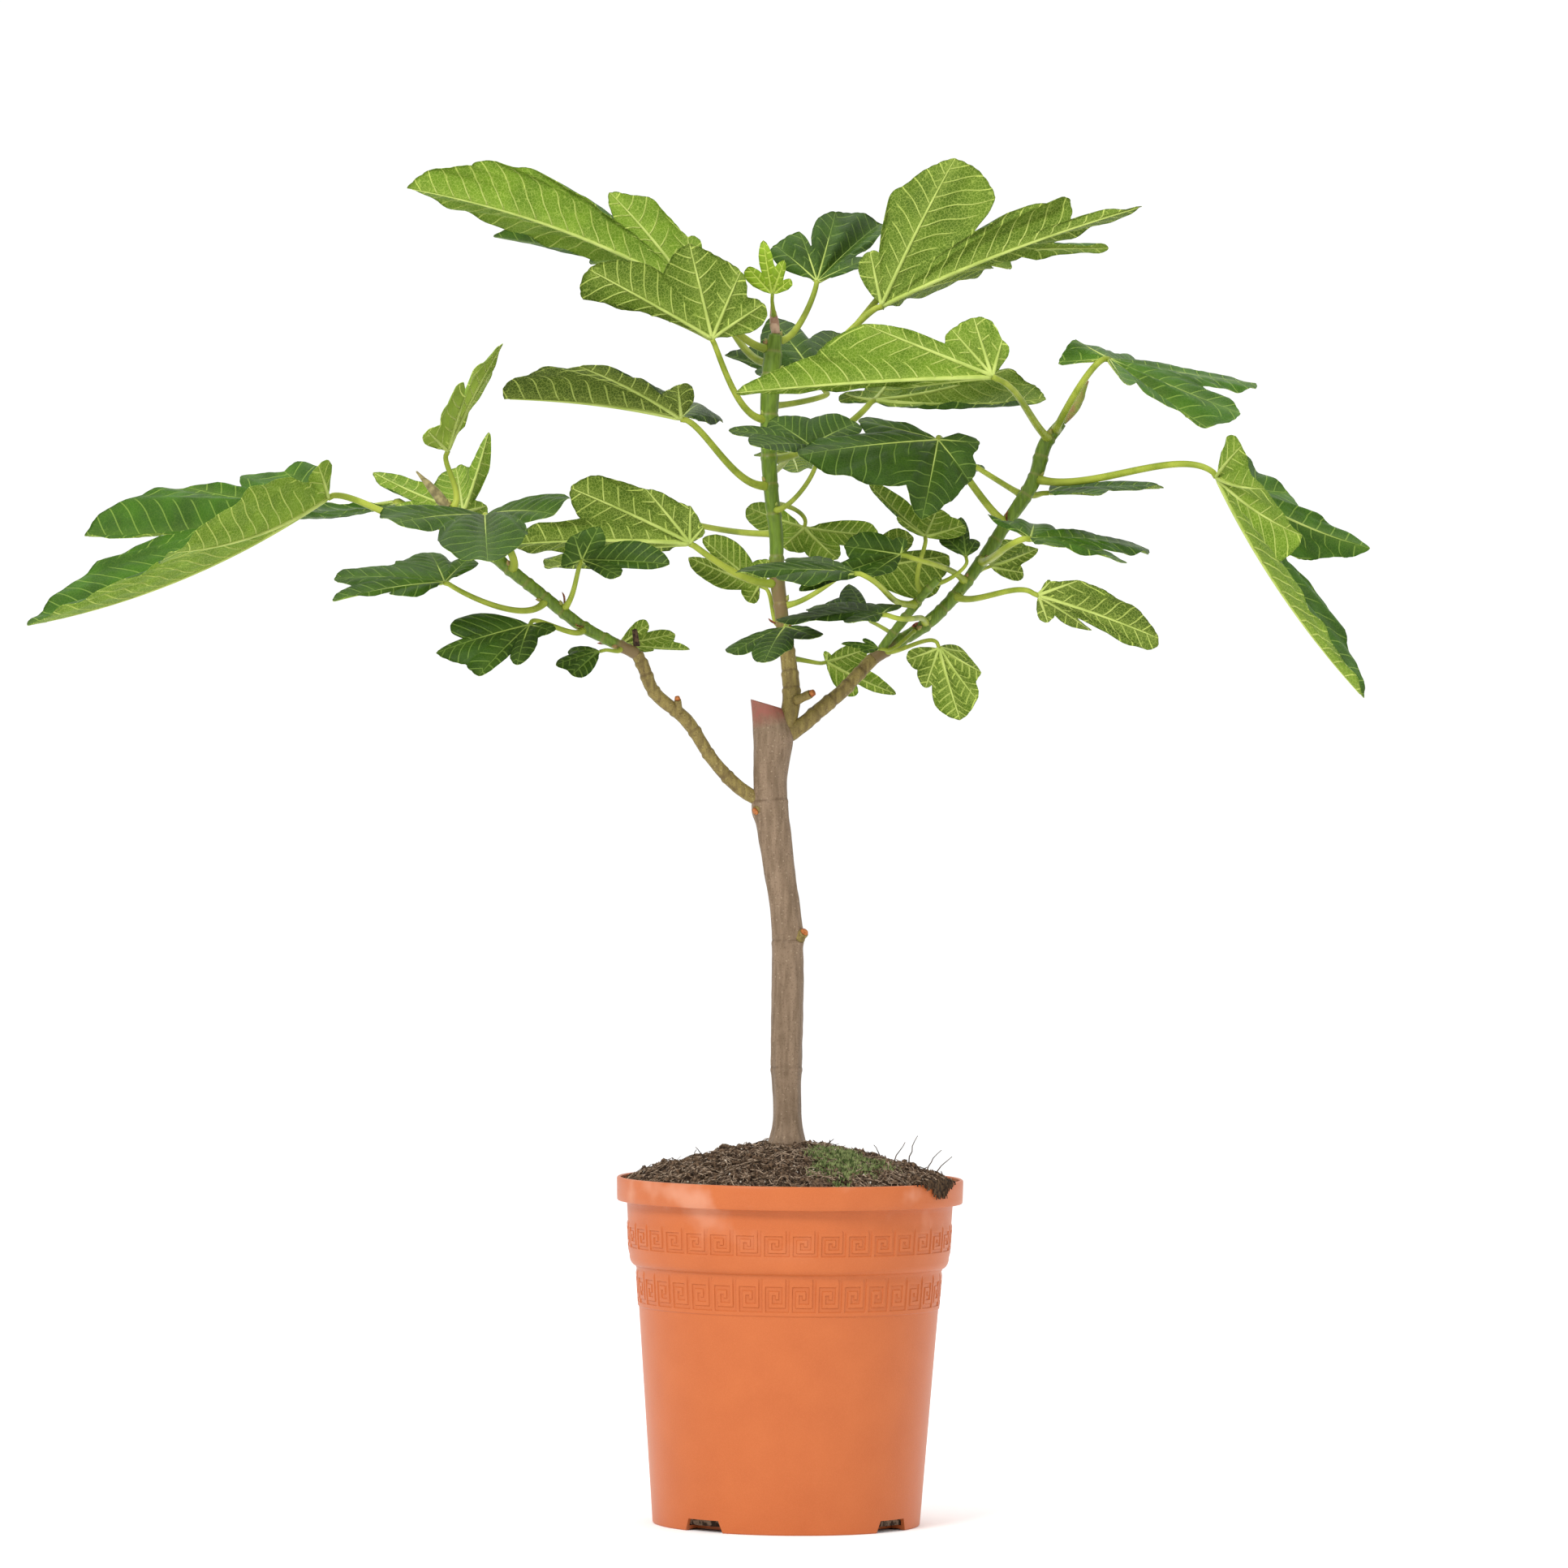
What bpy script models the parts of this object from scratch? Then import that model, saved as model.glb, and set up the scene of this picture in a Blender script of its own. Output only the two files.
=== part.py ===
"""A young fig tree in a round plastic pot, standing on the pot's flat underside.

The pot, the soil, the trunk, its boughs and shoots, the buds and every leaf are separate
objects. Lengths are metres, +Z is up, +X is to the right and -Y is the side that is seen.
The origin is the centre of the pot's underside.
"""

import math
from typing import NamedTuple

import bmesh
import bpy
from mathutils import Quaternion, Vector

MM = 0.001

# Clearance between pieces that touch on the real plant.
GAP = 0.3 * MM

# Pot: a turned shell with a collar, a shouldered band and four drainage notches at its foot.
POT_HEIGHT = 0.2095
RIM_RADIUS = 0.105
COLLAR_HEIGHT = 0.0145
BAND_TOP_RADIUS = 0.0988
BAND_FOOT_RADIUS = 0.0968
SHOULDER_HEIGHT = 0.162
SHOULDER_DROP = 0.007
WALL_TOP_RADIUS = 0.0925
FOOT_RADIUS = 0.081
POT_WALL = 0.0022
POT_FLOOR = 0.003
POT_SIDES = 40
NOTCHES = 4
NOTCH_TURN = math.radians(7)
NOTCH_WIDTH = 0.027
NOTCH_HEIGHT = 0.0074
NOTCH_DEPTH = 0.012

# Soil: fills the pot and rises to a mound with a level seat under the trunk.
SOIL_EDGE_DROP = 0.0035
MOUND = ((0.088, 0.2125), (0.066, 0.2185), (0.042, 0.2245), (0.017, 0.2290))

# Limbs: (x, y, z, radius) at each bend, foot first.
LIMB_SIDES = 10
TRUNK = (
    (-0.002, 0.000, 0.2293, 0.0118),
    (-0.002, 0.000, 0.2360, 0.0101),
    (-0.003, 0.000, 0.2850, 0.0096),
    (-0.003, 0.000, 0.3330, 0.0096),
    (-0.004, 0.000, 0.3650, 0.0092),
    (-0.009, 0.000, 0.3970, 0.0093),
    (-0.013, 0.000, 0.4250, 0.0100),
    (-0.015, 0.000, 0.4500, 0.0102),
    (-0.014, 0.000, 0.4740, 0.0112),
    (-0.018, 0.000, 0.4965, 0.0088),
)
TRUNK_CUT = (0.27, 0.0, 0.96)
LEADER_BOUGH = (
    (-0.014, 0.000, 0.4750, 0.0050),
    (-0.005, 0.001, 0.4860, 0.0055),
    (-0.003, 0.002, 0.4950, 0.0055),
    (-0.005, 0.005, 0.5250, 0.0048),
    (-0.009, 0.006, 0.5490, 0.0043),
)
LEADER_SHOOT = (
    (-0.009, 0.006, 0.5490, 0.0042),
    (-0.012, 0.006, 0.5740, 0.0045),
    (-0.013, 0.006, 0.5985, 0.0042),
    (-0.016, 0.004, 0.6230, 0.0045),
    (-0.018, 0.002, 0.6475, 0.0047),
    (-0.018, 0.000, 0.6770, 0.0056),
    (-0.0165, 0.000, 0.7060, 0.0054),
    (-0.015, 0.000, 0.7200, 0.0040),
)
LEFT_BOUGH = (
    (-0.014, 0.000, 0.4340, 0.0042),
    (-0.033, -0.003, 0.4450, 0.0042),
    (-0.048, -0.008, 0.4600, 0.0038),
    (-0.066, -0.015, 0.4860, 0.0040),
    (-0.087, -0.022, 0.5050, 0.0038),
    (-0.092, -0.025, 0.5175, 0.0038),
    (-0.096, -0.027, 0.5255, 0.0038),
)
LEFT_SHOOT = (
    (-0.096, -0.027, 0.5255, 0.0036),
    (-0.110, -0.031, 0.5320, 0.0034),
    (-0.127, -0.035, 0.5405, 0.0036),
    (-0.155, -0.040, 0.5615, 0.0036),
    (-0.176, -0.044, 0.5780, 0.0038),
    (-0.196, -0.047, 0.5960, 0.0040),
    (-0.210, -0.049, 0.6110, 0.0036),
)
DEAD_STUB = (
    (-0.0962, -0.027, 0.5300, 0.0020),
    (-0.0975, -0.027, 0.5400, 0.0016),
)
RIGHT_BOUGH = (
    (-0.010, 0.000, 0.4740, 0.0048),
    (0.003, 0.001, 0.4830, 0.0048),
    (0.0145, 0.003, 0.4930, 0.0046),
    (0.029, 0.008, 0.5055, 0.0042),
    (0.039, 0.012, 0.5165, 0.0040),
    (0.0465, 0.015, 0.5245, 0.0040),
)
RIGHT_SHOOT = (
    (0.0465, 0.015, 0.5245, 0.0040),
    (0.0585, 0.018, 0.5330, 0.0040),
    (0.078, 0.022, 0.5455, 0.0040),
    (0.099, 0.026, 0.5670, 0.0038),
    (0.1125, 0.028, 0.5855, 0.0038),
    (0.127, 0.030, 0.6080, 0.0040),
    (0.144, 0.030, 0.6355, 0.0044),
    (0.151, 0.030, 0.6580, 0.0042),
    (0.160, 0.030, 0.6700, 0.0032),
)
INNER_SHOOT = (
    (0.052, 0.014, 0.5310, 0.0028),
    (0.060, 0.009, 0.5420, 0.0028),
    (0.068, 0.005, 0.5525, 0.0027),
    (0.0775, -0.003, 0.5650, 0.0026),
    (0.085, -0.007, 0.5730, 0.0022),
)
BUDS = {
    "leader_bud": (
        (-0.0147, 0.0, 0.7206, 0.0030),
        (-0.0158, 0.0, 0.7290, 0.0024),
        (-0.0175, 0.0, 0.7400, 0.0006),
    ),
    "left_bud": (
        (-0.2104, -0.0491, 0.6117, 0.0034),
        (-0.2180, -0.0500, 0.6210, 0.0026),
        (-0.2290, -0.0510, 0.6330, 0.0007),
    ),
    "right_bud": (
        (0.1605, 0.030, 0.6707, 0.0031),
        (0.1680, 0.031, 0.6800, 0.0030),
        (0.1760, 0.032, 0.6955, 0.0007),
    ),
}


class Leaf(NamedTuple):
    """One leaf, in millimetres.

    The stalk leaves its limb at node_height. The blade spreads from its base to the tips of
    its lobes, which are listed from left to right as its upper side is seen with the tip up.
    A bay between two lobes reaches out to a share of the shorter one, and 1 is a straight edge.
    """

    name: str
    limb: str
    node_height: float
    base: tuple
    lobes: tuple
    arch: float = 0.03
    bays: tuple = ()


LEAVES = (
    Leaf("leader_top_leaf", "leader_bud", 732, (-17, -10, 744),
         ((-32, -15, 760), (-23, -20, 776), (-10, -20, 764), (-6, -15, 753)), arch=0.04),
    Leaf("leader_leaf_1", "leader_shoot", 711, (-67, 0, 747),
         ((-69, 10, 779), (-91, 20, 802), (-117, 20, 806), (-172, 20, 821),
          (-201, 20, 822), (-240, 30, 809), (-106, 90, 757)), arch=0.05, bays=(1, 1, 0.8, 1, 1, 0.8)),
    Leaf("leader_leaf_2", "leader_shoot", 669, (-53, -30, 716),
         ((-22, -30, 737), (-36, -35, 756), (-67, -40, 772), (-127, -50, 755),
          (-131, -40, 738), (-99, 0, 735)), bays=(0.85, 1, 0.85, 1, 0.9)),
    Leaf("leader_leaf_3", "leader_shoot", 717, (10, 20, 754),
         ((-16, 30, 776), (-1, 40, 785), (10, 50, 793), (21, 60, 799),
          (49, 80, 794), (43, 30, 769)), bays=(1, 0.62, 1, 1, 0.85)),
    Leaf("leader_leaf_4", "leader_shoot", 696, (49, -10, 738),
         ((102, 90, 760), (207, 10, 800), (163, 10, 803), (148, 0, 802), (117, 5, 807),
          (93, 10, 829), (57, 10, 809), (42, 0, 771)), bays=(0.75, 0.96, 1, 0.74, 1, 1, 0.95)),
    Leaf("leader_leaf_5", "leader_shoot", 644, (46, 70, 683),
         ((77, 60, 681), (152, 90, 686), (131, 120, 705),
          (60, 120, 705), (27, 90, 688)), bays=(0.9, 1, 0.8, 0.8)),
    Leaf("leader_leaf_6", "leader_shoot", 629, (-71, -30, 668),
         ((-73, -60, 686), (-131, -80, 696), (-168, -65, 690), (-177, -50, 677),
          (-104, 40, 696), (-61, 40, 678)), bays=(0.8, 1, 1, 0.7, 0.8)),
    Leaf("leader_leaf_7", "leader_shoot", 677, (15, 50, 690),
         ((-25, 70, 702), (-46, 90, 711), (-18, 100, 736), (21, 100, 727)), bays=(0.9, 0.8, 0.85)),
    Leaf("leader_leaf_8", "leader_shoot", 614, (7, -40, 652),
         ((-26, -80, 650), (-42, -50, 660), (-17, -25, 667), (35, -20, 667)), bays=(0.85, 0.85, 0.8)),
    Leaf("leader_leaf_9", "leader_shoot", 570, (-65, -20, 593),
         ((-57, -20, 602), (-65, -20, 615), (-92, -25, 625), (-122, -30, 632),
          (-137, -35, 625), (-176, -40, 590), (-153, 30, 579)), bays=(1, 1, 1, 1, 0.85, 0.75)),
    Leaf("leader_leaf_10", "leader_bough", 545, (-23, 20, 568),
         ((-18, 20, 584), (-58, 30, 597), (-66, 20, 585), (-29, 10, 558)), bays=(0.92, 0.6, 0.8)),
    Leaf("leader_leaf_11", "leader_shoot", 617, (4, 40, 604),
         ((-31, 60, 617), (-9, 30, 592), (24, 30, 585), (50, 60, 601)), bays=(0.85, 0.85, 0.8)),
    Leaf("leader_leaf_12", "leader_shoot", 556, (36, 0, 579),
         ((88, 10, 574), (92, 10, 588), (70, 20, 600))),
    Leaf("leader_leaf_13", "leader_bough", 538, (-7, -35, 543),
         ((12, -60, 536), (-19, -90, 521), (-39, -60, 526)), bays=(0.8, 0.88)),
    Leaf("leader_leaf_14", "leader_bough", 524, (18, 25, 522),
         ((38, 30, 504), (61, 40, 503), (43, 50, 531), (19, 30, 529)), bays=(0.8, 0.65, 0.9)),
    Leaf("left_leaf_1", "left_shoot", 607, (-282, -60, 617),
         ((-286, -90, 635), (-327, -140, 614), (-366, -150, 581), (-459, -75, 537), (-425, -40, 572),
          (-432, -10, 594),
          (-402, -5, 618), (-370, 0, 624), (-336, 0, 630), (-311, -10, 634)),
         arch=-0.05, bays=(0.8, 1, 0.9, 1, 0.62, 1, 1, 0.9, 1)),
    Leaf("left_leaf_2", "left_shoot", 575, (-187, -70, 607),
         ((-144, -140, 607), (-163, -170, 587), (-181, -180, 576),
          (-203, -170, 582), (-237, -140, 599)), arch=0.03, bays=(0.8, 1, 1, 0.72)),
    Leaf("left_leaf_3", "left_shoot", 558, (-211, -60, 567),
         ((-243, -80, 559), (-276, -90, 555), (-277, -60, 569),
          (-222, -10, 585), (-198, -30, 581)), bays=(0.9, 0.85, 0.75, 0.9)),
    Leaf("left_leaf_4", "left_shoot", 610, (-211, -50, 646),
         ((-185, -20, 696), (-178, -50, 710), (-193, -70, 694),
          (-200, -85, 685), (-222, -70, 657)), bays=(0.9, 1, 0.7, 0.9)),
    Leaf("left_leaf_5", "left_shoot", 600, (-202, -10, 610),
         ((-189, 10, 615), (-189, 30, 661), (-209, 50, 638), (-259, 30, 634), (-244, 0, 614))),
    Leaf("left_leaf_6", "left_shoot", 541, (-160, -60, 542),
         ((-146, -75, 538), (-166, -95, 518), (-189, -85, 510),
          (-215, -70, 524), (-207, -60, 537)), bays=(0.95, 0.62, 0.95, 0.85)),
    Leaf("left_leaf_7", "left_shoot", 530, (-118, -45, 527),
         ((-134, -60, 512), (-144, -55, 518), (-137, -40, 527)), bays=(0.95, 0.95)),
    Leaf("left_leaf_8", "left_shoot", 533, (-108, 10, 531),
         ((-87, 15, 529), (-65, 25, 529), (-74, 35, 539), (-90, 20, 544)), bays=(0.9, 0.85, 0.9)),
    Leaf("left_leaf_9", "left_shoot", 551, (-129, -60, 581),
         ((-141, -60, 577), (-134, -60, 596), (-119, -60, 601),
          (-76, -80, 578), (-106, -90, 571)), bays=(0.9, 1, 0.7, 0.75)),
    Leaf("right_leaf_1", "right_shoot", 660, (115, -60, 694),
         ((121, -50, 716), (115, -50, 727), (104, -50, 729), (91, -50, 722), (87, -55, 713), (66, -60, 721),
          (38, -65, 724), (9, -80, 704), (-38, -90, 681), (61, -40, 686)),
         arch=0.02, bays=(1, 1, 1, 1, 1, 1, 1, 1, 0.9)),
    Leaf("right_leaf_2", "right_shoot", 608, (84, -20, 657),
         ((109, -20, 655), (103, -40, 632), (88, -65, 617), (74, -80, 607), (64, -75, 627),
          (31, -80, 631), (0, -80, 644), (36, -10, 668)), arch=0.02, bays=(0.95, 1, 1, 1, 1, 1, 0.75)),
    Leaf("right_leaf_3", "right_shoot", 666, (187, -10, 708),
         ((157, 0, 706), (168, 20, 721), (216, 60, 706), (280, 60, 697), (267, -10, 676),
          (246, -30, 666), (222, -35, 678), (196, -50, 692)),
         arch=-0.01, bays=(1, 0.8, 1, 0.72, 1, 1, 0.75)),
    Leaf("right_leaf_4", "right_shoot", 636, (252, -40, 636),
         ((279, 10, 642), (298, 20, 629), (348, 20, 595), (317, 10, 589), (294, -15, 590), (325, -15, 554),
          (342, -50, 505), (288, -80, 585), (299, -90, 600), (276, -90, 627), (264, -80, 653)),
         arch=-0.04, bays=(1, 0.97, 1, 1, 1, 1, 1, 1, 1, 0.92)),
    Leaf("right_leaf_5", "right_shoot", 628, (153, 35, 628),
         ((170, 60, 636), (223, 30, 632), (180, -10, 626)), arch=0.01, bays=(0.85, 0.85)),
    Leaf("right_leaf_6", "right_shoot", 585, (140, -35, 598),
         ((118, -10, 611), (144, 20, 609), (213, 40, 594),
          (198, -40, 584), (154, -60, 592)), bays=(0.9, 0.85, 0.6, 0.9)),
    Leaf("right_leaf_7", "right_shoot", 578, (118, 50, 582),
         ((139, 60, 579), (148, 70, 594), (134, 80, 599)), bays=(0.92, 0.95)),
    Leaf("right_leaf_8", "right_shoot", 564, (146, -20, 564),
         ((152, -10, 548), (178, -10, 543), (211, -30, 531), (218, -30, 539),
          (201, -40, 558), (170, -30, 573), (153, -20, 572)), arch=0.03, bays=(0.85, 0.65, 1, 1, 1, 1)),
    Leaf("right_leaf_9", "right_shoot", 572, (62, -40, 587),
         ((42, -70, 572), (1, -65, 564), (28, -50, 591), (64, -40, 597)), bays=(0.85, 0.92, 0.95)),
    Leaf("right_leaf_10", "right_shoot", 546, (51, -60, 551),
         ((33, -90, 545), (-12, -80, 545), (9, -30, 555), (59, -40, 557)), bays=(0.85, 0.85, 0.85)),
    Leaf("right_leaf_11", "right_shoot", 536, (44, 50, 550),
         ((17, 70, 558), (32, 80, 571), (48, 70, 559)), bays=(0.9, 0.9)),
    Leaf("right_leaf_12", "right_shoot", 530, (86, -20, 531),
         ((67, -20, 524), (78, -25, 507), (85, -30, 495), (99, -30, 488),
          (109, -20, 500), (112, -10, 517), (102, 0, 529)), bays=(0.92, 0.88, 1, 1, 0.97, 1)),
    Leaf("right_leaf_13", "right_shoot", 541, (50, -10, 531),
         ((39, -20, 529), (27, -20, 533), (40, -10, 536))),
    Leaf("inner_leaf_1", "inner_shoot", 571, (102, -10, 587),
         ((88, 0, 600), (99, 10, 611), (108, 0, 597)), bays=(0.9, 0.95)),
    Leaf("inner_leaf_2", "inner_shoot", 564, (77, -10, 598),
         ((101, 0, 606), (85, 10, 617), (43, 10, 630), (60, -10, 610)), bays=(0.9, 0.65, 0.9)),
    Leaf("inner_leaf_3", "inner_shoot", 558, (34, -90, 575),
         ((-11, -130, 569), (-36, -120, 573), (-4, -60, 584)), bays=(0.9, 0.8)),
    Leaf("back_leaf_1", "right_shoot", 625, (95, 85, 650),
         ((110, 115, 642), (80, 150, 632), (45, 125, 645), (60, 90, 652))),
    Leaf("back_leaf_2", "leader_shoot", 636, (-5, 80, 652),
         ((-25, 100, 650), (0, 150, 642), (30, 120, 647))),
    Leaf("back_leaf_3", "leader_shoot", 703, (-75, 75, 772),
         ((-75, 110, 775), (-130, 120, 770), (-190, 95, 785), (-125, 65, 785))),
    Leaf("back_leaf_4", "left_shoot", 590, (-245, 25, 616),
         ((-240, 50, 615), (-280, 80, 612), (-335, 65, 606), (-310, 25, 612))),
    Leaf("back_leaf_5", "leader_shoot", 600, (-85, 75, 610),
         ((-90, 105, 606), (-130, 125, 600), (-160, 90, 598), (-135, 65, 606))),
    Leaf("back_leaf_6", "leader_shoot", 691, (75, 70, 770),
         ((80, 95, 775), (130, 120, 770), (190, 90, 780), (140, 60, 785))),
)

# Blades: lobes joined by rounded bays, as a fan round the base.
SINUS_DEPTH = 0.6
CLOSE_LOBES = math.radians(16)
WIDE_LOBES = math.radians(34)
BASAL_TURN = math.radians(30)
LEAST_BASAL_TURN = math.radians(4)
WIDEST_FAN = math.radians(275)
BASAL_END = 0.25
LOBE_FULLNESS = 3.0
EDGE_STEPS = (0.0, 0.6)
MID_RING = 0.5
WHOLE_BLADE_PULL = 0.7
LARGE_LEAF = 0.075

# Leaf plates: thicker than the living blade so that they are solids. The stalk stops a neck's
# length behind the blade's centre, and dips by a share of its own length on the way there.
BLADE_THICKNESS = 0.0012
STALK_WIDTH = 0.0030
STALK_THICKNESS = 0.0026
STALK_STEPS = 3
STALK_DIP = 0.08
NECK_LENGTH = 0.0035

COLOURS = {
    "terracotta_plastic": ((0.72, 0.19, 0.07), 0.55),
    "potting_soil": ((0.035, 0.02, 0.012), 0.95),
    "fig_bark": ((0.20, 0.15, 0.10), 0.85),
    "green_shoot": ((0.16, 0.22, 0.05), 0.55),
    "bud_scale": ((0.40, 0.22, 0.12), 0.6),
    "fig_leaf": ((0.05, 0.13, 0.03), 0.5),
}


def material(name):
    """A Principled BSDF with the colour and roughness of one of the plant's surfaces."""
    made = bpy.data.materials.get(name)
    if made is None:
        made = bpy.data.materials.new(name)
        made.use_nodes = True
        colour, roughness = COLOURS[name]
        shader = made.node_tree.nodes["Principled BSDF"]
        shader.inputs["Base Color"].default_value = (*colour, 1.0)
        shader.inputs["Roughness"].default_value = roughness
        shader.inputs["Metallic"].default_value = 0.0
    return made


def add_object(name, points, faces, finish, smooth_angle=40.0):
    """A mesh object from points and faces, shaded smooth up to an angle."""
    mesh = bpy.data.meshes.new(name)
    mesh.from_pydata([tuple(point) for point in points], [], faces)
    mesh.materials.append(material(finish))
    mesh.shade_smooth()
    mesh.set_sharp_from_angle(angle=math.radians(smooth_angle))
    thing = bpy.data.objects.new(name, mesh)
    bpy.context.scene.collection.objects.link(thing)
    return thing


def as_guide(thing):
    """Keeps a cutter out of the model."""
    thing.hide_render = True
    thing.display_type = "WIRE"
    return thing


def cut(thing, cutter):
    """Takes the cutter's shape out of an object with an exact Boolean."""
    modifier = thing.modifiers.new("cut by " + cutter.name, "BOOLEAN")
    modifier.operation = "DIFFERENCE"
    modifier.object = cutter
    return modifier


def turned(profile, sides):
    """Points and faces of a solid turned round Z from a profile of (radius, height).

    The profile runs from the underside's centre, up the outside and back to the axis.
    """
    points = [(0.0, 0.0, profile[0][1])]
    rings = []
    for radius, height in profile[1:-1]:
        rings.append(range(len(points), len(points) + sides))
        for k in range(sides):
            turn = math.tau * k / sides
            points.append((radius * math.cos(turn), radius * math.sin(turn), height))
    points.append((0.0, 0.0, profile[-1][1]))
    faces = []
    for k in range(sides):
        after = (k + 1) % sides
        faces.append((0, rings[0][after], rings[0][k]))
        for low, high in zip(rings, rings[1:]):
            faces.append((low[k], low[after], high[after], high[k]))
        faces.append((rings[-1][k], rings[-1][after], len(points) - 1))
    return points, faces


def make_pot():
    """The pot's shell with its notches cut through the foot of the wall."""
    shoulder_foot = SHOULDER_HEIGHT - SHOULDER_DROP
    collar_foot = POT_HEIGHT - COLLAR_HEIGHT
    outside = [
        (0.0, 0.0),
        (FOOT_RADIUS, 0.0),
        (WALL_TOP_RADIUS, shoulder_foot),
        (BAND_FOOT_RADIUS, SHOULDER_HEIGHT),
        (BAND_TOP_RADIUS, collar_foot - 0.002),
        (RIM_RADIUS - 0.0006, collar_foot),
        (RIM_RADIUS, POT_HEIGHT),
    ]
    inside = [(radius, height) for radius, height in inner_wall(0.0)]
    inside.reverse()
    points, faces = turned(outside + inside + [(0.0, POT_FLOOR)], POT_SIDES)
    pot = add_object("pot", points, faces, "terracotta_plastic", 30.0)
    for k in range(NOTCHES):
        turn = NOTCH_TURN + math.tau * (k + 0.5) / NOTCHES - math.pi / 2
        cut(pot, notch_cutter("pot_notch_%d" % (k + 1), turn))
    return pot


def inner_wall(clearance):
    """The pot's inner face from floor to rim, moved inwards by a clearance."""
    shoulder_foot = SHOULDER_HEIGHT - SHOULDER_DROP
    collar_foot = POT_HEIGHT - COLLAR_HEIGHT
    corners = [
        (FOOT_RADIUS - POT_WALL, POT_FLOOR + clearance),
        (WALL_TOP_RADIUS - POT_WALL, shoulder_foot),
        (BAND_FOOT_RADIUS - POT_WALL, SHOULDER_HEIGHT),
        (BAND_TOP_RADIUS - POT_WALL, collar_foot + 0.001),
        (RIM_RADIUS - POT_WALL, collar_foot + 0.003),
        (RIM_RADIUS - POT_WALL, POT_HEIGHT),
    ]
    return [(radius - clearance, height) for radius, height in corners]


def notch_cutter(name, turn):
    """A wedge that narrows upwards, across the foot of the wall at one angle."""
    near, far = FOOT_RADIUS - NOTCH_DEPTH, FOOT_RADIUS + NOTCH_DEPTH
    half_low, half_high = NOTCH_WIDTH * 0.55, NOTCH_WIDTH * 0.42
    points = []
    for reach in (near, far):
        for height, half in ((-0.002, half_low), (NOTCH_HEIGHT, half_high)):
            for side in (-half, half):
                x = reach * math.cos(turn) - side * math.sin(turn)
                y = reach * math.sin(turn) + side * math.cos(turn)
                points.append((x, y, height))
    faces = [(0, 2, 3, 1), (4, 5, 7, 6), (0, 1, 5, 4), (2, 6, 7, 3), (0, 4, 6, 2), (1, 3, 7, 5)]
    return as_guide(add_object(name, points, faces, "terracotta_plastic"))


def make_soil():
    """The soil from the pot's floor to the mound, with a level seat for the trunk."""
    wall = [corner for corner in inner_wall(GAP) if corner[1] < POT_HEIGHT - SOIL_EDGE_DROP]
    edge = (RIM_RADIUS - POT_WALL - GAP, POT_HEIGHT - SOIL_EDGE_DROP)
    top = list(MOUND) + [(0.0, MOUND[-1][1])]
    profile = [(0.0, POT_FLOOR + GAP)] + wall + [edge] + top
    points, faces = turned(profile, POT_SIDES)
    return add_object("soil", points, faces, "potting_soil")


def tube(knots, swell=0.0, start_normal=None, stop_normal=None):
    """Points and faces of a tapering limb through its knots; a normal slants either end."""
    points, faces = [], []
    centres = [Vector(knot[:3]) for knot in knots]
    side = Vector((0.0, 1.0, 0.0))
    last = len(knots) - 1
    for k, centre in enumerate(centres):
        along = (centres[min(k + 1, last)] - centres[max(k - 1, 0)]).normalized()
        side = (side - side.dot(along) * along).normalized()
        other = along.cross(side)
        normal = start_normal if k == 0 else stop_normal if k == last else None
        for n in range(LIMB_SIDES):
            turn = math.tau * n / LIMB_SIDES
            offset = (knots[k][3] + swell) * (math.cos(turn) * side + math.sin(turn) * other)
            if normal is not None:
                offset -= along * offset.dot(normal) / along.dot(normal)
            points.append(centre + offset)
    for k in range(last):
        for n in range(LIMB_SIDES):
            after = (n + 1) % LIMB_SIDES
            low, high = k * LIMB_SIDES, (k + 1) * LIMB_SIDES
            faces.append((low + n, low + after, high + after, high + n))
    faces.append(tuple(reversed(range(LIMB_SIDES))))
    faces.append(tuple(range(len(points) - LIMB_SIDES, len(points))))
    return points, faces


def make_limb(name, knots, finish, parents=(), **ends):
    """A limb, cut back where it leaves its parents so that a hair of clearance is left."""
    points, faces = tube(knots, **ends)
    limb = add_object(name, points, faces, finish)
    for parent, parent_knots, parent_ends in parents:
        points, faces = tube(parent_knots, swell=GAP, **parent_ends)
        cut(limb, as_guide(add_object(name + "_from_" + parent, points, faces, finish)))
    return limb


def joint_normal(bough, shoot):
    """Normal of the plane in which a bough ends and the shoot that continues it starts."""
    return (Vector(shoot[1][:3]) - Vector(bough[-2][:3])).normalized()


def past_joint(shoot, normal):
    """The shoot started a gap further on than the bough's end."""
    start = Vector(shoot[0][:3]) + normal * GAP
    return ((*start, shoot[0][3]), *shoot[1:])


def limb_at(knots, height):
    """Centre, radius and direction of a limb where it passes a height."""
    for (x0, y0, z0, r0), (x1, y1, z1, r1) in zip(knots, knots[1:]):
        if height <= z1:
            break
    t = min(max((height - z0) / (z1 - z0), 0.0), 1.0)
    low, high = Vector((x0, y0, z0)), Vector((x1, y1, z1))
    return low.lerp(high, t), r0 + (r1 - r0) * t, (high - low).normalized()


def turned_towards(start, stop, angle):
    """The first direction turned by an angle in the plane of the two, towards the second."""
    return Quaternion(start.cross(stop).normalized(), angle) @ start


def lobe_normals(lobes):
    """Upward normal at each lobe: the planes on its two sides, drawn towards the whole blade's."""
    planes = [right.cross(left) for left, right in zip(lobes, lobes[1:])]
    whole = sum(planes, Vector()) * WHOLE_BLADE_PULL
    pairs = zip([planes[0], *planes], [*planes, planes[-1]])
    return [(before + after + whole).normalized() for before, after in pairs]


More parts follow.
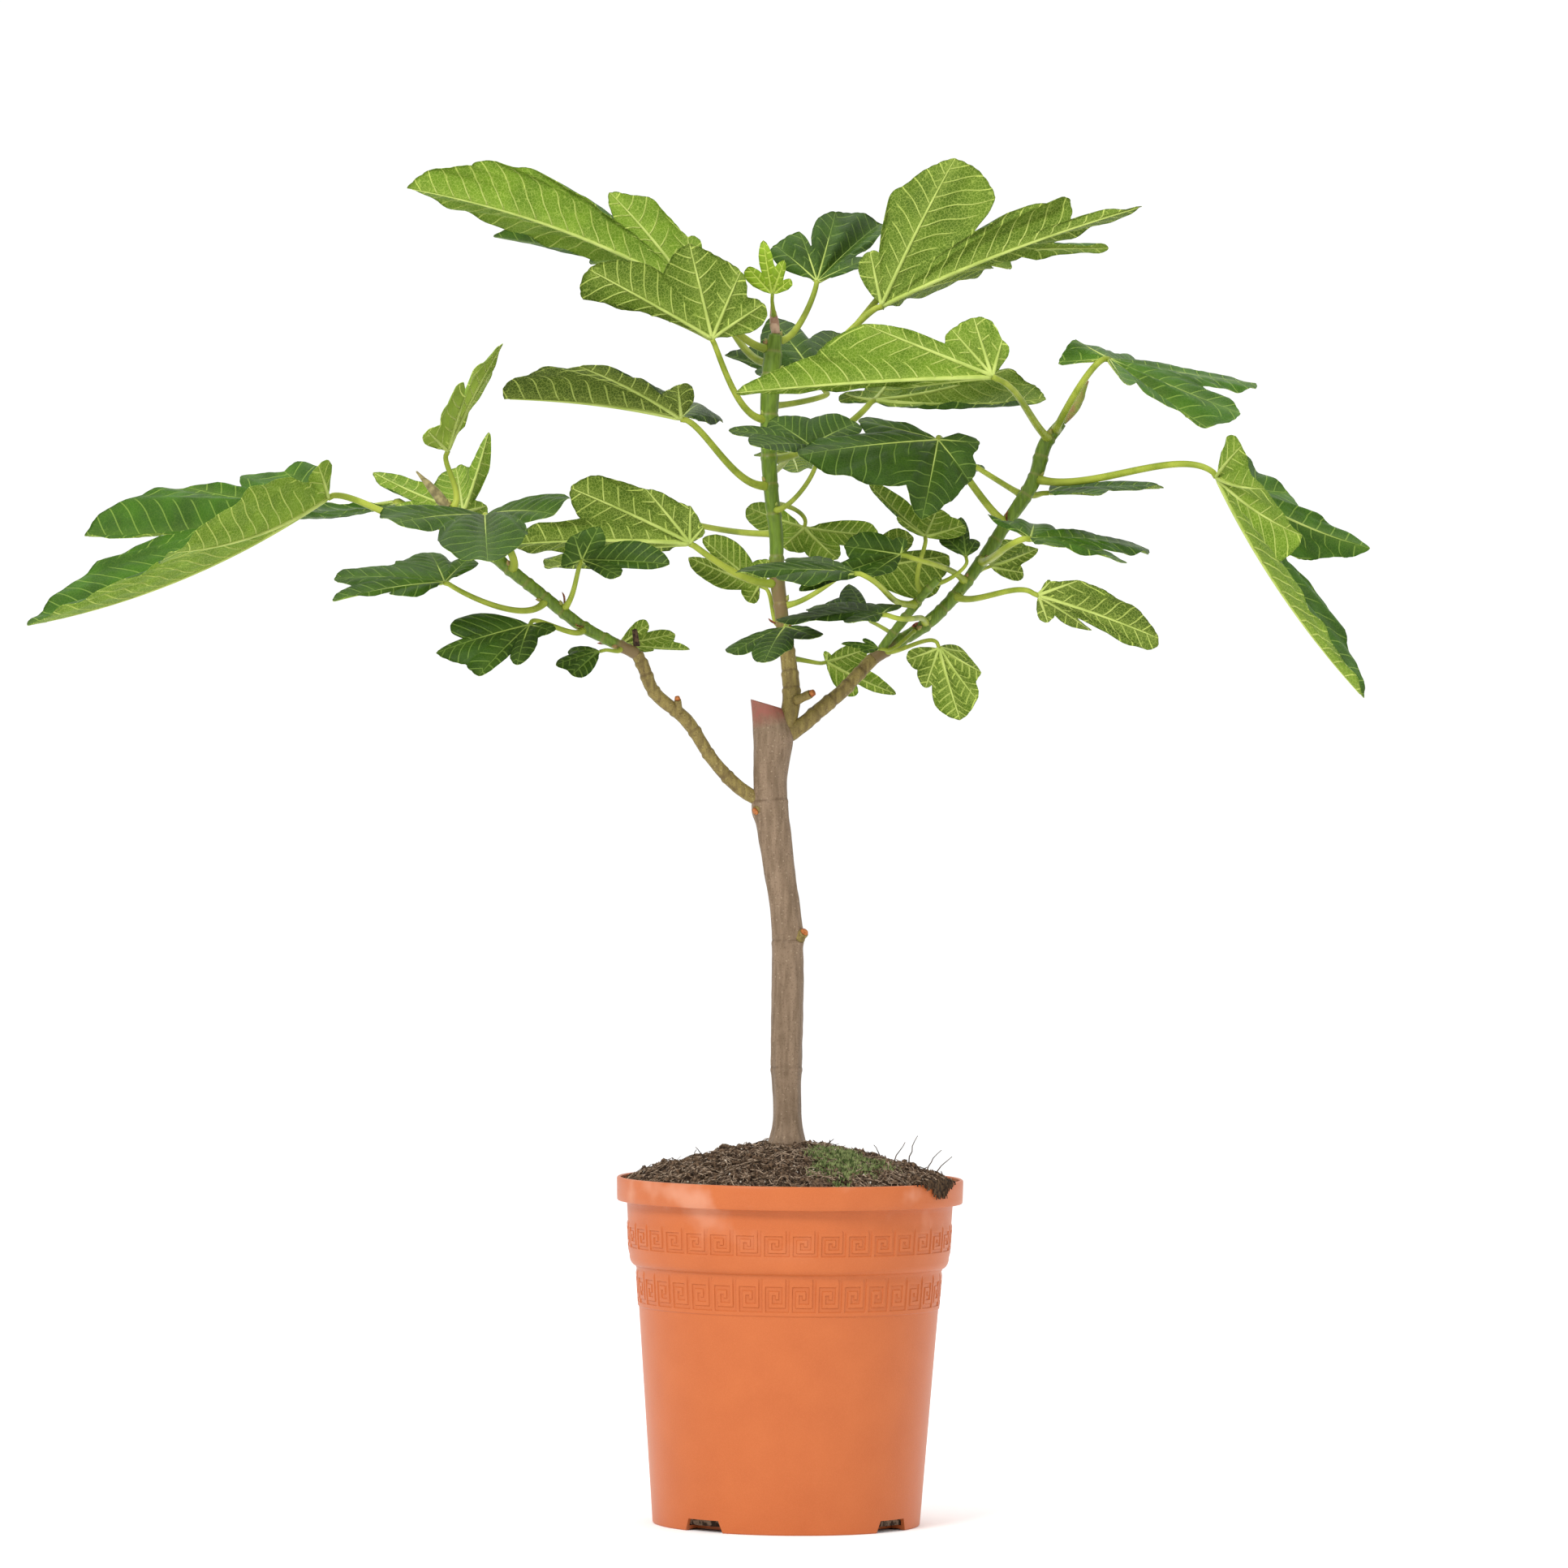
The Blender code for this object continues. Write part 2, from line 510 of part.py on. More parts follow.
def usual_bay(gap):
    """How far out a bay reaches between two lobes at this angle, as a share of the shorter one."""
    openness = min(max((gap - CLOSE_LOBES) / (WIDE_LOBES - CLOSE_LOBES), 0.0), 1.0)
    return 1 - (1 - SINUS_DEPTH) * openness


def blade_edge(leaf):
    """The blade's edge as (vector from the base, upward normal), from left to right."""
    base = Vector(leaf.base) * MM
    lobes = [Vector(lobe) * MM - base for lobe in leaf.lobes]
    normals = lobe_normals(lobes)
    edge = []

    def add_flank(lobe, normal, stop, t):
        scale = 1 - (1 - BASAL_END) * t**LOBE_FULLNESS
        direction = lobe.normalized().slerp(stop.normalized(), t)
        edge.append((direction * lobe.length * scale, normal))

    gaps = [left.angle(right) for left, right in zip(lobes, lobes[1:])]
    basal_turn = min(BASAL_TURN, max(LEAST_BASAL_TURN, (WIDEST_FAN - sum(gaps)) / 2))
    outer = turned_towards(lobes[0], lobes[1], -basal_turn)
    for t in (1.0, *EDGE_STEPS[:0:-1], 0.0):
        add_flank(lobes[0], normals[0], outer, t)
    depths = leaf.bays or [usual_bay(gap) for gap in gaps]
    for left, right, start, stop, depth in zip(lobes, lobes[1:], normals, normals[1:], depths):
        bay = depth * min(left.length, right.length)
        marks = [1.0]
        if depth < 1:
            half = [t / 2 for t in EDGE_STEPS[1:]]
            marks = [*half, 0.5, *(1 - t for t in reversed(half)), 1.0]
        for t in marks:
            lobe = left if t < 0.5 else right
            away = 1 - abs(2 * t - 1)
            reach = bay + (lobe.length - bay) * (1 - away**LOBE_FULLNESS)
            direction = left.normalized().slerp(right.normalized(), t)
            edge.append((direction * reach, start.lerp(stop, t).normalized()))
    outer = turned_towards(lobes[-1], lobes[-2], -basal_turn)
    for t in (*EDGE_STEPS[1:], 1.0):
        add_flank(lobes[-1], normals[-1], outer, t)
    return edge


def stalk_route(leaf, limbs, arrival, up):
    """Centres of the stalk from the limb's surface to just before the blade's base.

    The first direction comes back too. The last part of the stalk dips to the side of the
    blade that it comes from, so that it keeps clear of the basal lobes.
    """
    centre, radius, limb_direction = limb_at(limbs[leaf.limb], leaf.node_height * MM)
    base = Vector(leaf.base) * MM
    outward = base - centre
    outward -= outward.dot(limb_direction) * limb_direction
    outward.normalize()
    start = centre + outward * (radius + GAP)
    reach = (base - start).length
    bend_out = start + outward * reach * 0.3
    side = -1 if (start - base).dot(up) > 0 else 1
    neck = base - arrival * NECK_LENGTH
    bend_in = neck - arrival * reach * 0.2 - up * side * reach * STALK_DIP
    route = []
    for k in range(STALK_STEPS + 1):
        t = k / STALK_STEPS
        route.append(
            start * (1 - t) ** 3
            + 3 * bend_out * t * (1 - t) ** 2
            + 3 * bend_in * t**2 * (1 - t)
            + neck * t**3
        )
    return route, outward


def make_leaf(leaf, limbs):
    """A leaf as one thin closed plate: its stalk, and its blade as a fan round the base."""
    base = Vector(leaf.base) * MM
    edge = blade_edge(leaf)
    longest = max(vector.length for vector, _ in edge)
    up = sum((normal for _, normal in edge), Vector()).normalized()
    ways = [vector.normalized() for vector, _ in edge]
    middle = sum(((a + b) * a.angle(b) for a, b in zip(ways, ways[1:])), Vector())
    arrival = (middle - middle.dot(up) * up).normalized()
    sheet, offsets = [], []

    def add(point, offset):
        sheet.append(point)
        offsets.append(offset)
        return len(sheet) - 1

    route, outward = stalk_route(leaf, limbs, arrival, up)
    side = up.cross(arrival) * -1
    hub = add(base, up * BLADE_THICKNESS / 2)
    pairs = []
    before = arrival
    for k in reversed(range(len(route))):
        if k == len(route) - 1:
            direction = arrival
        elif k == 0:
            direction = outward
        else:
            ahead = (route[k + 1] - route[k]).normalized()
            direction = (ahead + (route[k] - route[k - 1]).normalized()).normalized()
        side = before.rotation_difference(direction) @ side
        before = direction
        thickness = BLADE_THICKNESS if k == len(route) - 1 else STALK_THICKNESS
        offset = side.cross(direction) * thickness / 2
        half = side * STALK_WIDTH / 2
        pairs.append((add(route[k] - half, offset), add(route[k] + half, offset)))
    scales = (MID_RING, 1.0) if longest > LARGE_LEAF else (1.0,)
    rings = []
    for scale in scales:
        ring = []
        for vector, normal in edge:
            lift = 4 * leaf.arch * scale * (1 - scale) * vector.length
            ring.append(add(base + vector * scale + normal * lift, normal * BLADE_THICKNESS / 2))
        rings.append(ring)
    faces = []
    first_left, first_right = pairs[0]
    spokes = [first_left, *rings[0], first_right]
    for a, b in zip(spokes, spokes[1:]):
        faces.append((hub, a, b))
    faces.append((hub, first_right, first_left))
    for inner, outer in zip(rings, rings[1:]):
        faces.append((first_left, outer[0], inner[0]))
        for k in range(len(edge) - 1):
            faces.append((inner[k], outer[k], outer[k + 1], inner[k + 1]))
        faces.append((first_right, inner[-1], outer[-1]))
    for (left, right), (next_left, next_right) in zip(pairs, pairs[1:]):
        faces.append((left, right, next_right, next_left))
    rim = [left for left, _ in reversed(pairs)] + rings[-1] + [right for _, right in pairs]

    count = len(sheet)
    points = [p + n for p, n in zip(sheet, offsets)] + [p - n for p, n in zip(sheet, offsets)]
    whole = list(faces) + [tuple(count + k for k in reversed(face)) for face in faces]
    for a, b in zip(rim, rim[1:] + rim[:1]):
        whole.append((b, b + count, a + count, a))
    thing = add_object(leaf.name, points, whole, "fig_leaf", 60.0)
    mesh = bmesh.new()
    mesh.from_mesh(thing.data)
    bmesh.ops.triangulate(mesh, faces=mesh.faces[:])
    bmesh.ops.recalc_face_normals(mesh, faces=mesh.faces[:])
    mesh.to_mesh(thing.data)
    mesh.free()
    return thing


def main():
    """Clears the scene and builds the pot, the wood and the leaves in order."""
    for thing in list(bpy.data.objects):
        bpy.data.objects.remove(thing, do_unlink=True)
    make_pot()
    make_soil()
    trunk_ends = {"stop_normal": Vector(TRUNK_CUT)}
    trunk = ("trunk", TRUNK, trunk_ends)
    make_limb("trunk", TRUNK, "fig_bark", **trunk_ends)
    make_limb("leader_bough", LEADER_BOUGH, "fig_bark", [trunk])
    leader = joint_normal(LEADER_BOUGH, LEADER_SHOOT)
    make_limb("leader_shoot", past_joint(LEADER_SHOOT, leader), "green_shoot")
    left = joint_normal(LEFT_BOUGH, LEFT_SHOOT)
    make_limb("left_bough", LEFT_BOUGH, "fig_bark", [trunk], stop_normal=left)
    left_shoot = past_joint(LEFT_SHOOT, left)
    make_limb("left_shoot", left_shoot, "green_shoot", start_normal=left)
    left_parents = [("left_bough", LEFT_BOUGH, {"stop_normal": left})]
    left_parents.append(("left_shoot", left_shoot, {"start_normal": left}))
    make_limb("dead_stub", DEAD_STUB, "fig_bark", left_parents)
    right = joint_normal(RIGHT_BOUGH, RIGHT_SHOOT)
    right_parents = [trunk, ("leader_bough", LEADER_BOUGH, {})]
    make_limb("right_bough", RIGHT_BOUGH, "fig_bark", right_parents, stop_normal=right)
    right_shoot = past_joint(RIGHT_SHOOT, right)
    make_limb("right_shoot", right_shoot, "green_shoot", start_normal=right)
    inner_parents = [("right_shoot", right_shoot, {"start_normal": right})]
    make_limb("inner_shoot", INNER_SHOOT, "green_shoot", inner_parents)
    for name, knots in BUDS.items():
        make_limb(name, knots, "bud_scale")
    limbs = {
        "leader_bough": LEADER_BOUGH,
        "leader_shoot": LEADER_SHOOT,
        "left_shoot": LEFT_SHOOT,
        "right_shoot": RIGHT_SHOOT,
        "inner_shoot": INNER_SHOOT,
        **BUDS,
    }
    for leaf in LEAVES:
        make_leaf(leaf, limbs)


main()
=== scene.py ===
"""Looks of a young fig tree in a round terracotta-coloured plastic pot.

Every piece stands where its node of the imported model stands. Lengths are metres, +Z is up,
and the side that the photograph shows faces -Y.
"""

import logging
import math
from collections.abc import Iterable, Sequence
from dataclasses import dataclass
from enum import Enum
from typing import NamedTuple

import bpy
import numpy as np
from mathutils import Matrix, Vector


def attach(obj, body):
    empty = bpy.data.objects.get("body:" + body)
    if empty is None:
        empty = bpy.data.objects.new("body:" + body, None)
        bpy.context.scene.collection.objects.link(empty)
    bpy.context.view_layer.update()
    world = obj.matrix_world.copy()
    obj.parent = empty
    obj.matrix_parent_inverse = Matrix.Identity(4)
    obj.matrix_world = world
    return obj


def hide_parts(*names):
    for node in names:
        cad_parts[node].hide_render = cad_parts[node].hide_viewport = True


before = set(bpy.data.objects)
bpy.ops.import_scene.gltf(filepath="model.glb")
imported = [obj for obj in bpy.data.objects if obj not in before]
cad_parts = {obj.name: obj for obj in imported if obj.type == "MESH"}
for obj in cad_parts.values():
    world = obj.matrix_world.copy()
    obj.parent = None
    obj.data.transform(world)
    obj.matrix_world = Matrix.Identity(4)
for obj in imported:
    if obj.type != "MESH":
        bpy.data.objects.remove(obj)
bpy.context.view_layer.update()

LOG = logging.getLogger("potted_fig")
MM = 0.001
ROOT = "root"
NO_FACES = np.zeros((0, 3), int)
Array = np.ndarray
Socket = bpy.types.NodeSocket

# Limbs as (x, y, z, radius) at each bend, foot first, as in the model.
TRUNK = (
    (-0.002, 0.000, 0.2293, 0.0118), (-0.002, 0.000, 0.2360, 0.0101), (-0.003, 0.000, 0.2850, 0.0096),
    (-0.003, 0.000, 0.3330, 0.0096), (-0.004, 0.000, 0.3650, 0.0092), (-0.009, 0.000, 0.3970, 0.0093),
    (-0.013, 0.000, 0.4250, 0.0100), (-0.015, 0.000, 0.4500, 0.0102), (-0.014, 0.000, 0.4740, 0.0112),
    (-0.018, 0.000, 0.4965, 0.0088),
)
TRUNK_CUT = (0.27, 0.0, 0.96)
LEADER_BOUGH = (
    (-0.014, 0.000, 0.4750, 0.0050), (-0.005, 0.001, 0.4860, 0.0055), (-0.003, 0.002, 0.4950, 0.0055),
    (-0.005, 0.005, 0.5250, 0.0048), (-0.009, 0.006, 0.5490, 0.0043),
)
LEADER_SHOOT = (
    (-0.009, 0.006, 0.5490, 0.0042), (-0.012, 0.006, 0.5740, 0.0045), (-0.013, 0.006, 0.5985, 0.0042),
    (-0.016, 0.004, 0.6230, 0.0045), (-0.018, 0.002, 0.6475, 0.0047), (-0.018, 0.000, 0.6770, 0.0056),
    (-0.0165, 0.000, 0.7060, 0.0054), (-0.015, 0.000, 0.7200, 0.0040),
)
LEFT_BOUGH = (
    (-0.014, 0.000, 0.4340, 0.0042), (-0.033, -0.003, 0.4450, 0.0042), (-0.048, -0.008, 0.4600, 0.0038),
    (-0.066, -0.015, 0.4860, 0.0040), (-0.087, -0.022, 0.5050, 0.0038), (-0.092, -0.025, 0.5175, 0.0038),
    (-0.096, -0.027, 0.5255, 0.0038),
)
LEFT_SHOOT = (
    (-0.096, -0.027, 0.5255, 0.0036), (-0.110, -0.031, 0.5320, 0.0034), (-0.127, -0.035, 0.5405, 0.0036),
    (-0.155, -0.040, 0.5615, 0.0036), (-0.176, -0.044, 0.5780, 0.0038), (-0.196, -0.047, 0.5960, 0.0040),
    (-0.210, -0.049, 0.6110, 0.0036),
)
DEAD_STUB = (
    (-0.0962, -0.027, 0.5300, 0.0020), (-0.0975, -0.027, 0.5400, 0.0016),
)
RIGHT_BOUGH = (
    (-0.010, 0.000, 0.4740, 0.0048), (0.003, 0.001, 0.4830, 0.0048), (0.0145, 0.003, 0.4930, 0.0046),
    (0.029, 0.008, 0.5055, 0.0042), (0.039, 0.012, 0.5165, 0.0040), (0.0465, 0.015, 0.5245, 0.0040),
)
RIGHT_SHOOT = (
    (0.0465, 0.015, 0.5245, 0.0040), (0.0585, 0.018, 0.5330, 0.0040), (0.078, 0.022, 0.5455, 0.0040),
    (0.099, 0.026, 0.5670, 0.0038), (0.1125, 0.028, 0.5855, 0.0038), (0.127, 0.030, 0.6080, 0.0040),
    (0.144, 0.030, 0.6355, 0.0044), (0.151, 0.030, 0.6580, 0.0042), (0.160, 0.030, 0.6700, 0.0032),
)
INNER_SHOOT = (
    (0.052, 0.014, 0.5310, 0.0028), (0.060, 0.009, 0.5420, 0.0028), (0.068, 0.005, 0.5525, 0.0027),
    (0.0775, -0.003, 0.5650, 0.0026), (0.085, -0.007, 0.5730, 0.0022),
)
LEADER_BUD = (
    (-0.0147, 0.0, 0.7206, 0.0030), (-0.0158, 0.0, 0.7290, 0.0024), (-0.0175, 0.0, 0.7400, 0.0006),
)
LEFT_BUD = (
    (-0.2104, -0.0491, 0.6117, 0.0034), (-0.2180, -0.0500, 0.6210, 0.0026),
    (-0.2290, -0.0510, 0.6330, 0.0007),
)
RIGHT_BUD = (
    (0.1605, 0.030, 0.6707, 0.0031), (0.1680, 0.031, 0.6800, 0.0030), (0.1760, 0.032, 0.6955, 0.0007),
)
LIMBS = {
    "leader_bough": LEADER_BOUGH,
    "leader_shoot": LEADER_SHOOT,
    "left_shoot": LEFT_SHOOT,
    "right_shoot": RIGHT_SHOOT,
    "inner_shoot": INNER_SHOOT,
    "leader_bud": LEADER_BUD,
}


class LeafAgeAndShade(Enum):
    """A leaf's age, which sets its greens; SHADED is no age but painted shade: darker greens for shaded
    leaves.
    """

    YOUNG = "young"
    GROWN = "grown"
    SHADED = "shaded"


class Leaf(NamedTuple):
    """One leaf in millimetres, with its lobes from left to right as its upper side is seen.

    A bay between two lobes reaches out to a share of the shorter one, and 1 is a straight edge.
    A leaf without a named limb grows on the shoot that shares its first name.
    """

    name: str
    node_height: float
    base: tuple
    lobes: tuple
    arch: float = 0.03
    bays: tuple = ()
    limb: str = ""

    def grows_on(self) -> str:
        """The limb that carries the leaf."""
        return self.limb or self.name.split("_")[0] + "_shoot"


LEAVES = (
    Leaf("leader_top_leaf", 732, (-17, -10, 744), ((-32, -15, 760), (-23, -20, 776), (-10, -20, 764),
         (-6, -15, 753)), limb="leader_bud", arch=0.04),
    Leaf("leader_leaf_1", 711, (-67, 0, 747), ((-69, 10, 779), (-91, 20, 802), (-117, 20, 806),
         (-172, 20, 821), (-201, 20, 822), (-240, 30, 809), (-106, 90, 757)),
         arch=0.05, bays=(1, 1, 0.8, 1, 1, 0.8)),
    Leaf("leader_leaf_2", 669, (-53, -30, 716), ((-22, -30, 737), (-36, -35, 756), (-67, -40, 772),
         (-127, -50, 755), (-131, -40, 738), (-99, 0, 735)), bays=(0.85, 1, 0.85, 1, 0.9)),
    Leaf("leader_leaf_3", 717, (10, 20, 754), ((-16, 30, 776), (-1, 40, 785), (10, 50, 793), (21, 60, 799),
         (49, 80, 794), (43, 30, 769)), bays=(1, 0.62, 1, 1, 0.85)),
    Leaf("leader_leaf_4", 696, (49, -10, 738), ((102, 90, 760), (207, 10, 800), (163, 10, 803),
         (148, 0, 802), (117, 5, 807), (93, 10, 829), (57, 10, 809), (42, 0, 771)),
         bays=(0.75, 0.96, 1, 0.74, 1, 1, 0.95)),
    Leaf("leader_leaf_5", 644, (46, 70, 683), ((77, 60, 681), (152, 90, 686), (131, 120, 705),
         (60, 120, 705), (27, 90, 688)), bays=(0.9, 1, 0.8, 0.8)),
    Leaf("leader_leaf_6", 629, (-71, -30, 668), ((-73, -60, 686), (-131, -80, 696), (-168, -65, 690),
         (-177, -50, 677), (-104, 40, 696), (-61, 40, 678)), bays=(0.8, 1, 1, 0.7, 0.8)),
    Leaf("leader_leaf_7", 677, (15, 50, 690), ((-25, 70, 702), (-46, 90, 711), (-18, 100, 736),
         (21, 100, 727)), bays=(0.9, 0.8, 0.85)),
    Leaf("leader_leaf_8", 614, (7, -40, 652), ((-26, -80, 650), (-42, -50, 660), (-17, -25, 667),
         (35, -20, 667)), bays=(0.85, 0.85, 0.8)),
    Leaf("leader_leaf_9", 570, (-65, -20, 593), ((-57, -20, 602), (-65, -20, 615), (-92, -25, 625),
         (-122, -30, 632), (-137, -35, 625), (-176, -40, 590), (-153, 30, 579)),
         bays=(1, 1, 1, 1, 0.85, 0.75)),
    Leaf("leader_leaf_10", 545, (-23, 20, 568), ((-18, 20, 584), (-58, 30, 597), (-66, 20, 585),
         (-29, 10, 558)), limb="leader_bough", bays=(0.92, 0.6, 0.8)),
    Leaf("leader_leaf_11", 617, (4, 40, 604), ((-31, 60, 617), (-9, 30, 592), (24, 30, 585), (50, 60, 601)),
         bays=(0.85, 0.85, 0.8)),
    Leaf("leader_leaf_12", 556, (36, 0, 579), ((88, 10, 574), (92, 10, 588), (70, 20, 600))),
    Leaf("leader_leaf_13", 538, (-7, -35, 543), ((12, -60, 536), (-19, -90, 521), (-39, -60, 526)),
         limb="leader_bough", bays=(0.8, 0.88)),
    Leaf("leader_leaf_14", 524, (18, 25, 522), ((38, 30, 504), (61, 40, 503), (43, 50, 531), (19, 30, 529)),
         limb="leader_bough", bays=(0.8, 0.65, 0.9)),
    Leaf("left_leaf_1", 607, (-282, -60, 617), ((-286, -90, 635), (-327, -140, 614), (-366, -150, 581),
         (-459, -75, 537), (-425, -40, 572), (-432, -10, 594), (-402, -5, 618), (-370, 0, 624),
         (-336, 0, 630), (-311, -10, 634)), arch=-0.05, bays=(0.8, 1, 0.9, 1, 0.62, 1, 1, 0.9, 1)),
    Leaf("left_leaf_2", 575, (-187, -70, 607), ((-144, -140, 607), (-163, -170, 587), (-181, -180, 576),
         (-203, -170, 582), (-237, -140, 599)), arch=0.03, bays=(0.8, 1, 1, 0.72)),
    Leaf("left_leaf_3", 558, (-211, -60, 567), ((-243, -80, 559), (-276, -90, 555), (-277, -60, 569),
         (-222, -10, 585), (-198, -30, 581)), bays=(0.9, 0.85, 0.75, 0.9)),
    Leaf("left_leaf_4", 610, (-211, -50, 646), ((-185, -20, 696), (-178, -50, 710), (-193, -70, 694),
         (-200, -85, 685), (-222, -70, 657)), bays=(0.9, 1, 0.7, 0.9)),
    Leaf("left_leaf_5", 600, (-202, -10, 610), ((-189, 10, 615), (-189, 30, 661), (-209, 50, 638),
         (-259, 30, 634), (-244, 0, 614))),
    Leaf("left_leaf_6", 541, (-160, -60, 542), ((-146, -75, 538), (-166, -95, 518), (-189, -85, 510),
         (-215, -70, 524), (-207, -60, 537)), bays=(0.95, 0.62, 0.95, 0.85)),
    Leaf("left_leaf_7", 530, (-118, -45, 527), ((-134, -60, 512), (-144, -55, 518), (-137, -40, 527)),
         bays=(0.95, 0.95)),
    Leaf("left_leaf_8", 533, (-108, 10, 531), ((-87, 15, 529), (-65, 25, 529), (-74, 35, 539),
         (-90, 20, 544)), bays=(0.9, 0.85, 0.9)),
    Leaf("left_leaf_9", 551, (-129, -60, 581), ((-141, -60, 577), (-134, -60, 596), (-119, -60, 601),
         (-76, -80, 578), (-106, -90, 571)), bays=(0.9, 1, 0.7, 0.75)),
    Leaf("right_leaf_1", 660, (115, -60, 694), ((121, -50, 716), (115, -50, 727), (104, -50, 729),
         (91, -50, 722), (87, -55, 713), (66, -60, 721), (38, -65, 724), (9, -80, 704), (-38, -90, 681),
         (61, -40, 686)), arch=0.02, bays=(1, 1, 1, 1, 1, 1, 1, 1, 0.9)),
    Leaf("right_leaf_2", 608, (84, -20, 657), ((109, -20, 655), (103, -40, 632), (88, -65, 617),
         (74, -80, 607), (64, -75, 627), (31, -80, 631), (0, -80, 644), (36, -10, 668)),
         arch=0.02, bays=(0.95, 1, 1, 1, 1, 1, 0.75)),
    Leaf("right_leaf_3", 666, (187, -10, 708), ((157, 0, 706), (168, 20, 721), (216, 60, 706),
         (280, 60, 697), (267, -10, 676), (246, -30, 666), (222, -35, 678), (196, -50, 692)),
         arch=-0.01, bays=(1, 0.8, 1, 0.72, 1, 1, 0.75)),
    Leaf("right_leaf_4", 636, (252, -40, 636), ((279, 10, 642), (298, 20, 629), (348, 20, 595),
         (317, 10, 589), (294, -15, 590), (325, -15, 554), (342, -50, 505), (288, -80, 585),
         (299, -90, 600), (276, -90, 627), (264, -80, 653)),
         arch=-0.04, bays=(1, 0.97, 1, 1, 1, 1, 1, 1, 1, 0.92)),
    Leaf("right_leaf_5", 628, (153, 35, 628), ((170, 60, 636), (223, 30, 632), (180, -10, 626)),
         arch=0.01, bays=(0.85, 0.85)),
    Leaf("right_leaf_6", 585, (140, -35, 598), ((118, -10, 611), (144, 20, 609), (213, 40, 594),
         (198, -40, 584), (154, -60, 592)), bays=(0.9, 0.85, 0.6, 0.9)),
    Leaf("right_leaf_7", 578, (118, 50, 582), ((139, 60, 579), (148, 70, 594), (134, 80, 599)),
         bays=(0.92, 0.95)),
    Leaf("right_leaf_8", 564, (146, -20, 564), ((152, -10, 548), (178, -10, 543), (211, -30, 531),
         (218, -30, 539), (201, -40, 558), (170, -30, 573), (153, -20, 572)),
         arch=0.03, bays=(0.85, 0.65, 1, 1, 1, 1)),
    Leaf("right_leaf_9", 572, (62, -40, 587), ((42, -70, 572), (1, -65, 564), (28, -50, 591),
         (64, -40, 597)), bays=(0.85, 0.92, 0.95)),
    Leaf("right_leaf_10", 546, (51, -60, 551), ((33, -90, 545), (-12, -80, 545), (9, -30, 555),
         (59, -40, 557)), bays=(0.85, 0.85, 0.85)),
    Leaf("right_leaf_11", 536, (44, 50, 550), ((17, 70, 558), (32, 80, 571), (48, 70, 559)),
         bays=(0.9, 0.9)),
    Leaf("right_leaf_12", 530, (86, -20, 531), ((67, -20, 524), (78, -25, 507), (85, -30, 495),
         (99, -30, 488), (109, -20, 500), (112, -10, 517), (102, 0, 529)),
         bays=(0.92, 0.88, 1, 1, 0.97, 1)),
    Leaf("right_leaf_13", 541, (50, -10, 531), ((39, -20, 529), (27, -20, 533), (40, -10, 536))),
    Leaf("inner_leaf_1", 571, (102, -10, 587), ((88, 0, 600), (99, 10, 611), (108, 0, 597)),
         bays=(0.9, 0.95)),
    Leaf("inner_leaf_2", 564, (77, -10, 598), ((101, 0, 606), (85, 10, 617), (43, 10, 630), (60, -10, 610)),
         bays=(0.9, 0.65, 0.9)),
    Leaf("inner_leaf_3", 558, (34, -90, 575), ((-11, -130, 569), (-36, -120, 573), (-4, -60, 584)),
         bays=(0.9, 0.8)),
    Leaf("back_leaf_1", 625, (95, 85, 650), ((110, 115, 642), (80, 150, 632), (45, 125, 645),
         (60, 90, 652)), limb="right_shoot"),
    Leaf("back_leaf_2", 636, (-5, 80, 652), ((-25, 100, 650), (0, 150, 642), (30, 120, 647)),
         limb="leader_shoot"),
    Leaf("back_leaf_3", 703, (-75, 75, 772), ((-75, 110, 775), (-130, 120, 770), (-190, 95, 785),
         (-125, 65, 785)), limb="leader_shoot"),
    Leaf("back_leaf_4", 590, (-245, 25, 616), ((-240, 50, 615), (-280, 80, 612), (-335, 65, 606),
         (-310, 25, 612)), limb="left_shoot"),
    Leaf("back_leaf_5", 600, (-85, 75, 610), ((-90, 105, 606), (-130, 125, 600), (-160, 90, 598),
         (-135, 65, 606)), limb="leader_shoot"),
    Leaf("back_leaf_6", 691, (75, 70, 770), ((80, 95, 775), (130, 120, 770), (190, 90, 780),
         (140, 60, 785)), limb="leader_shoot"),
)
# The leaves that aren't GROWN; the SHADED ones take darker greens as painted shade.
AGES_AND_SHADE = {
    LeafAgeAndShade.YOUNG: ("leader_top_leaf", "left_leaf_4"),
    LeafAgeAndShade.SHADED: (
        "leader_leaf_3", "leader_leaf_7", "leader_leaf_8", "leader_leaf_13", "inner_leaf_1",
        "inner_leaf_3", "left_leaf_2", "left_leaf_3", "left_leaf_6", "left_leaf_7", "left_leaf_9",
        "right_leaf_2", "right_leaf_9", "right_leaf_10", "right_leaf_11", "back_leaf_1", "back_leaf_2",
        "back_leaf_5",
    ),
}
# Lightness of some leaves against their class's green, partly their own and partly painted light and shade.
TONES_AND_PAINTED_LIGHT = {
    "leader_leaf_1": 0.3, "leader_leaf_2": -0.9, "leader_leaf_3": 0.6, "leader_leaf_4": -0.7,
    "leader_leaf_5": -0.5, "leader_leaf_6": -1.5, "leader_leaf_9": -1.0, "leader_leaf_10": -0.3,
    "leader_leaf_11": 0.2, "leader_leaf_12": -0.4, "left_leaf_1": 0.5, "left_leaf_2": 0.4,
    "left_leaf_3": 1.2, "left_leaf_5": 0.4, "left_leaf_8": -0.4, "right_leaf_1": 0.2,
    "right_leaf_3": 0.5, "right_leaf_4": 0.2, "right_leaf_7": -0.4, "right_leaf_8": -1.1,
    "right_leaf_12": -0.7,
}


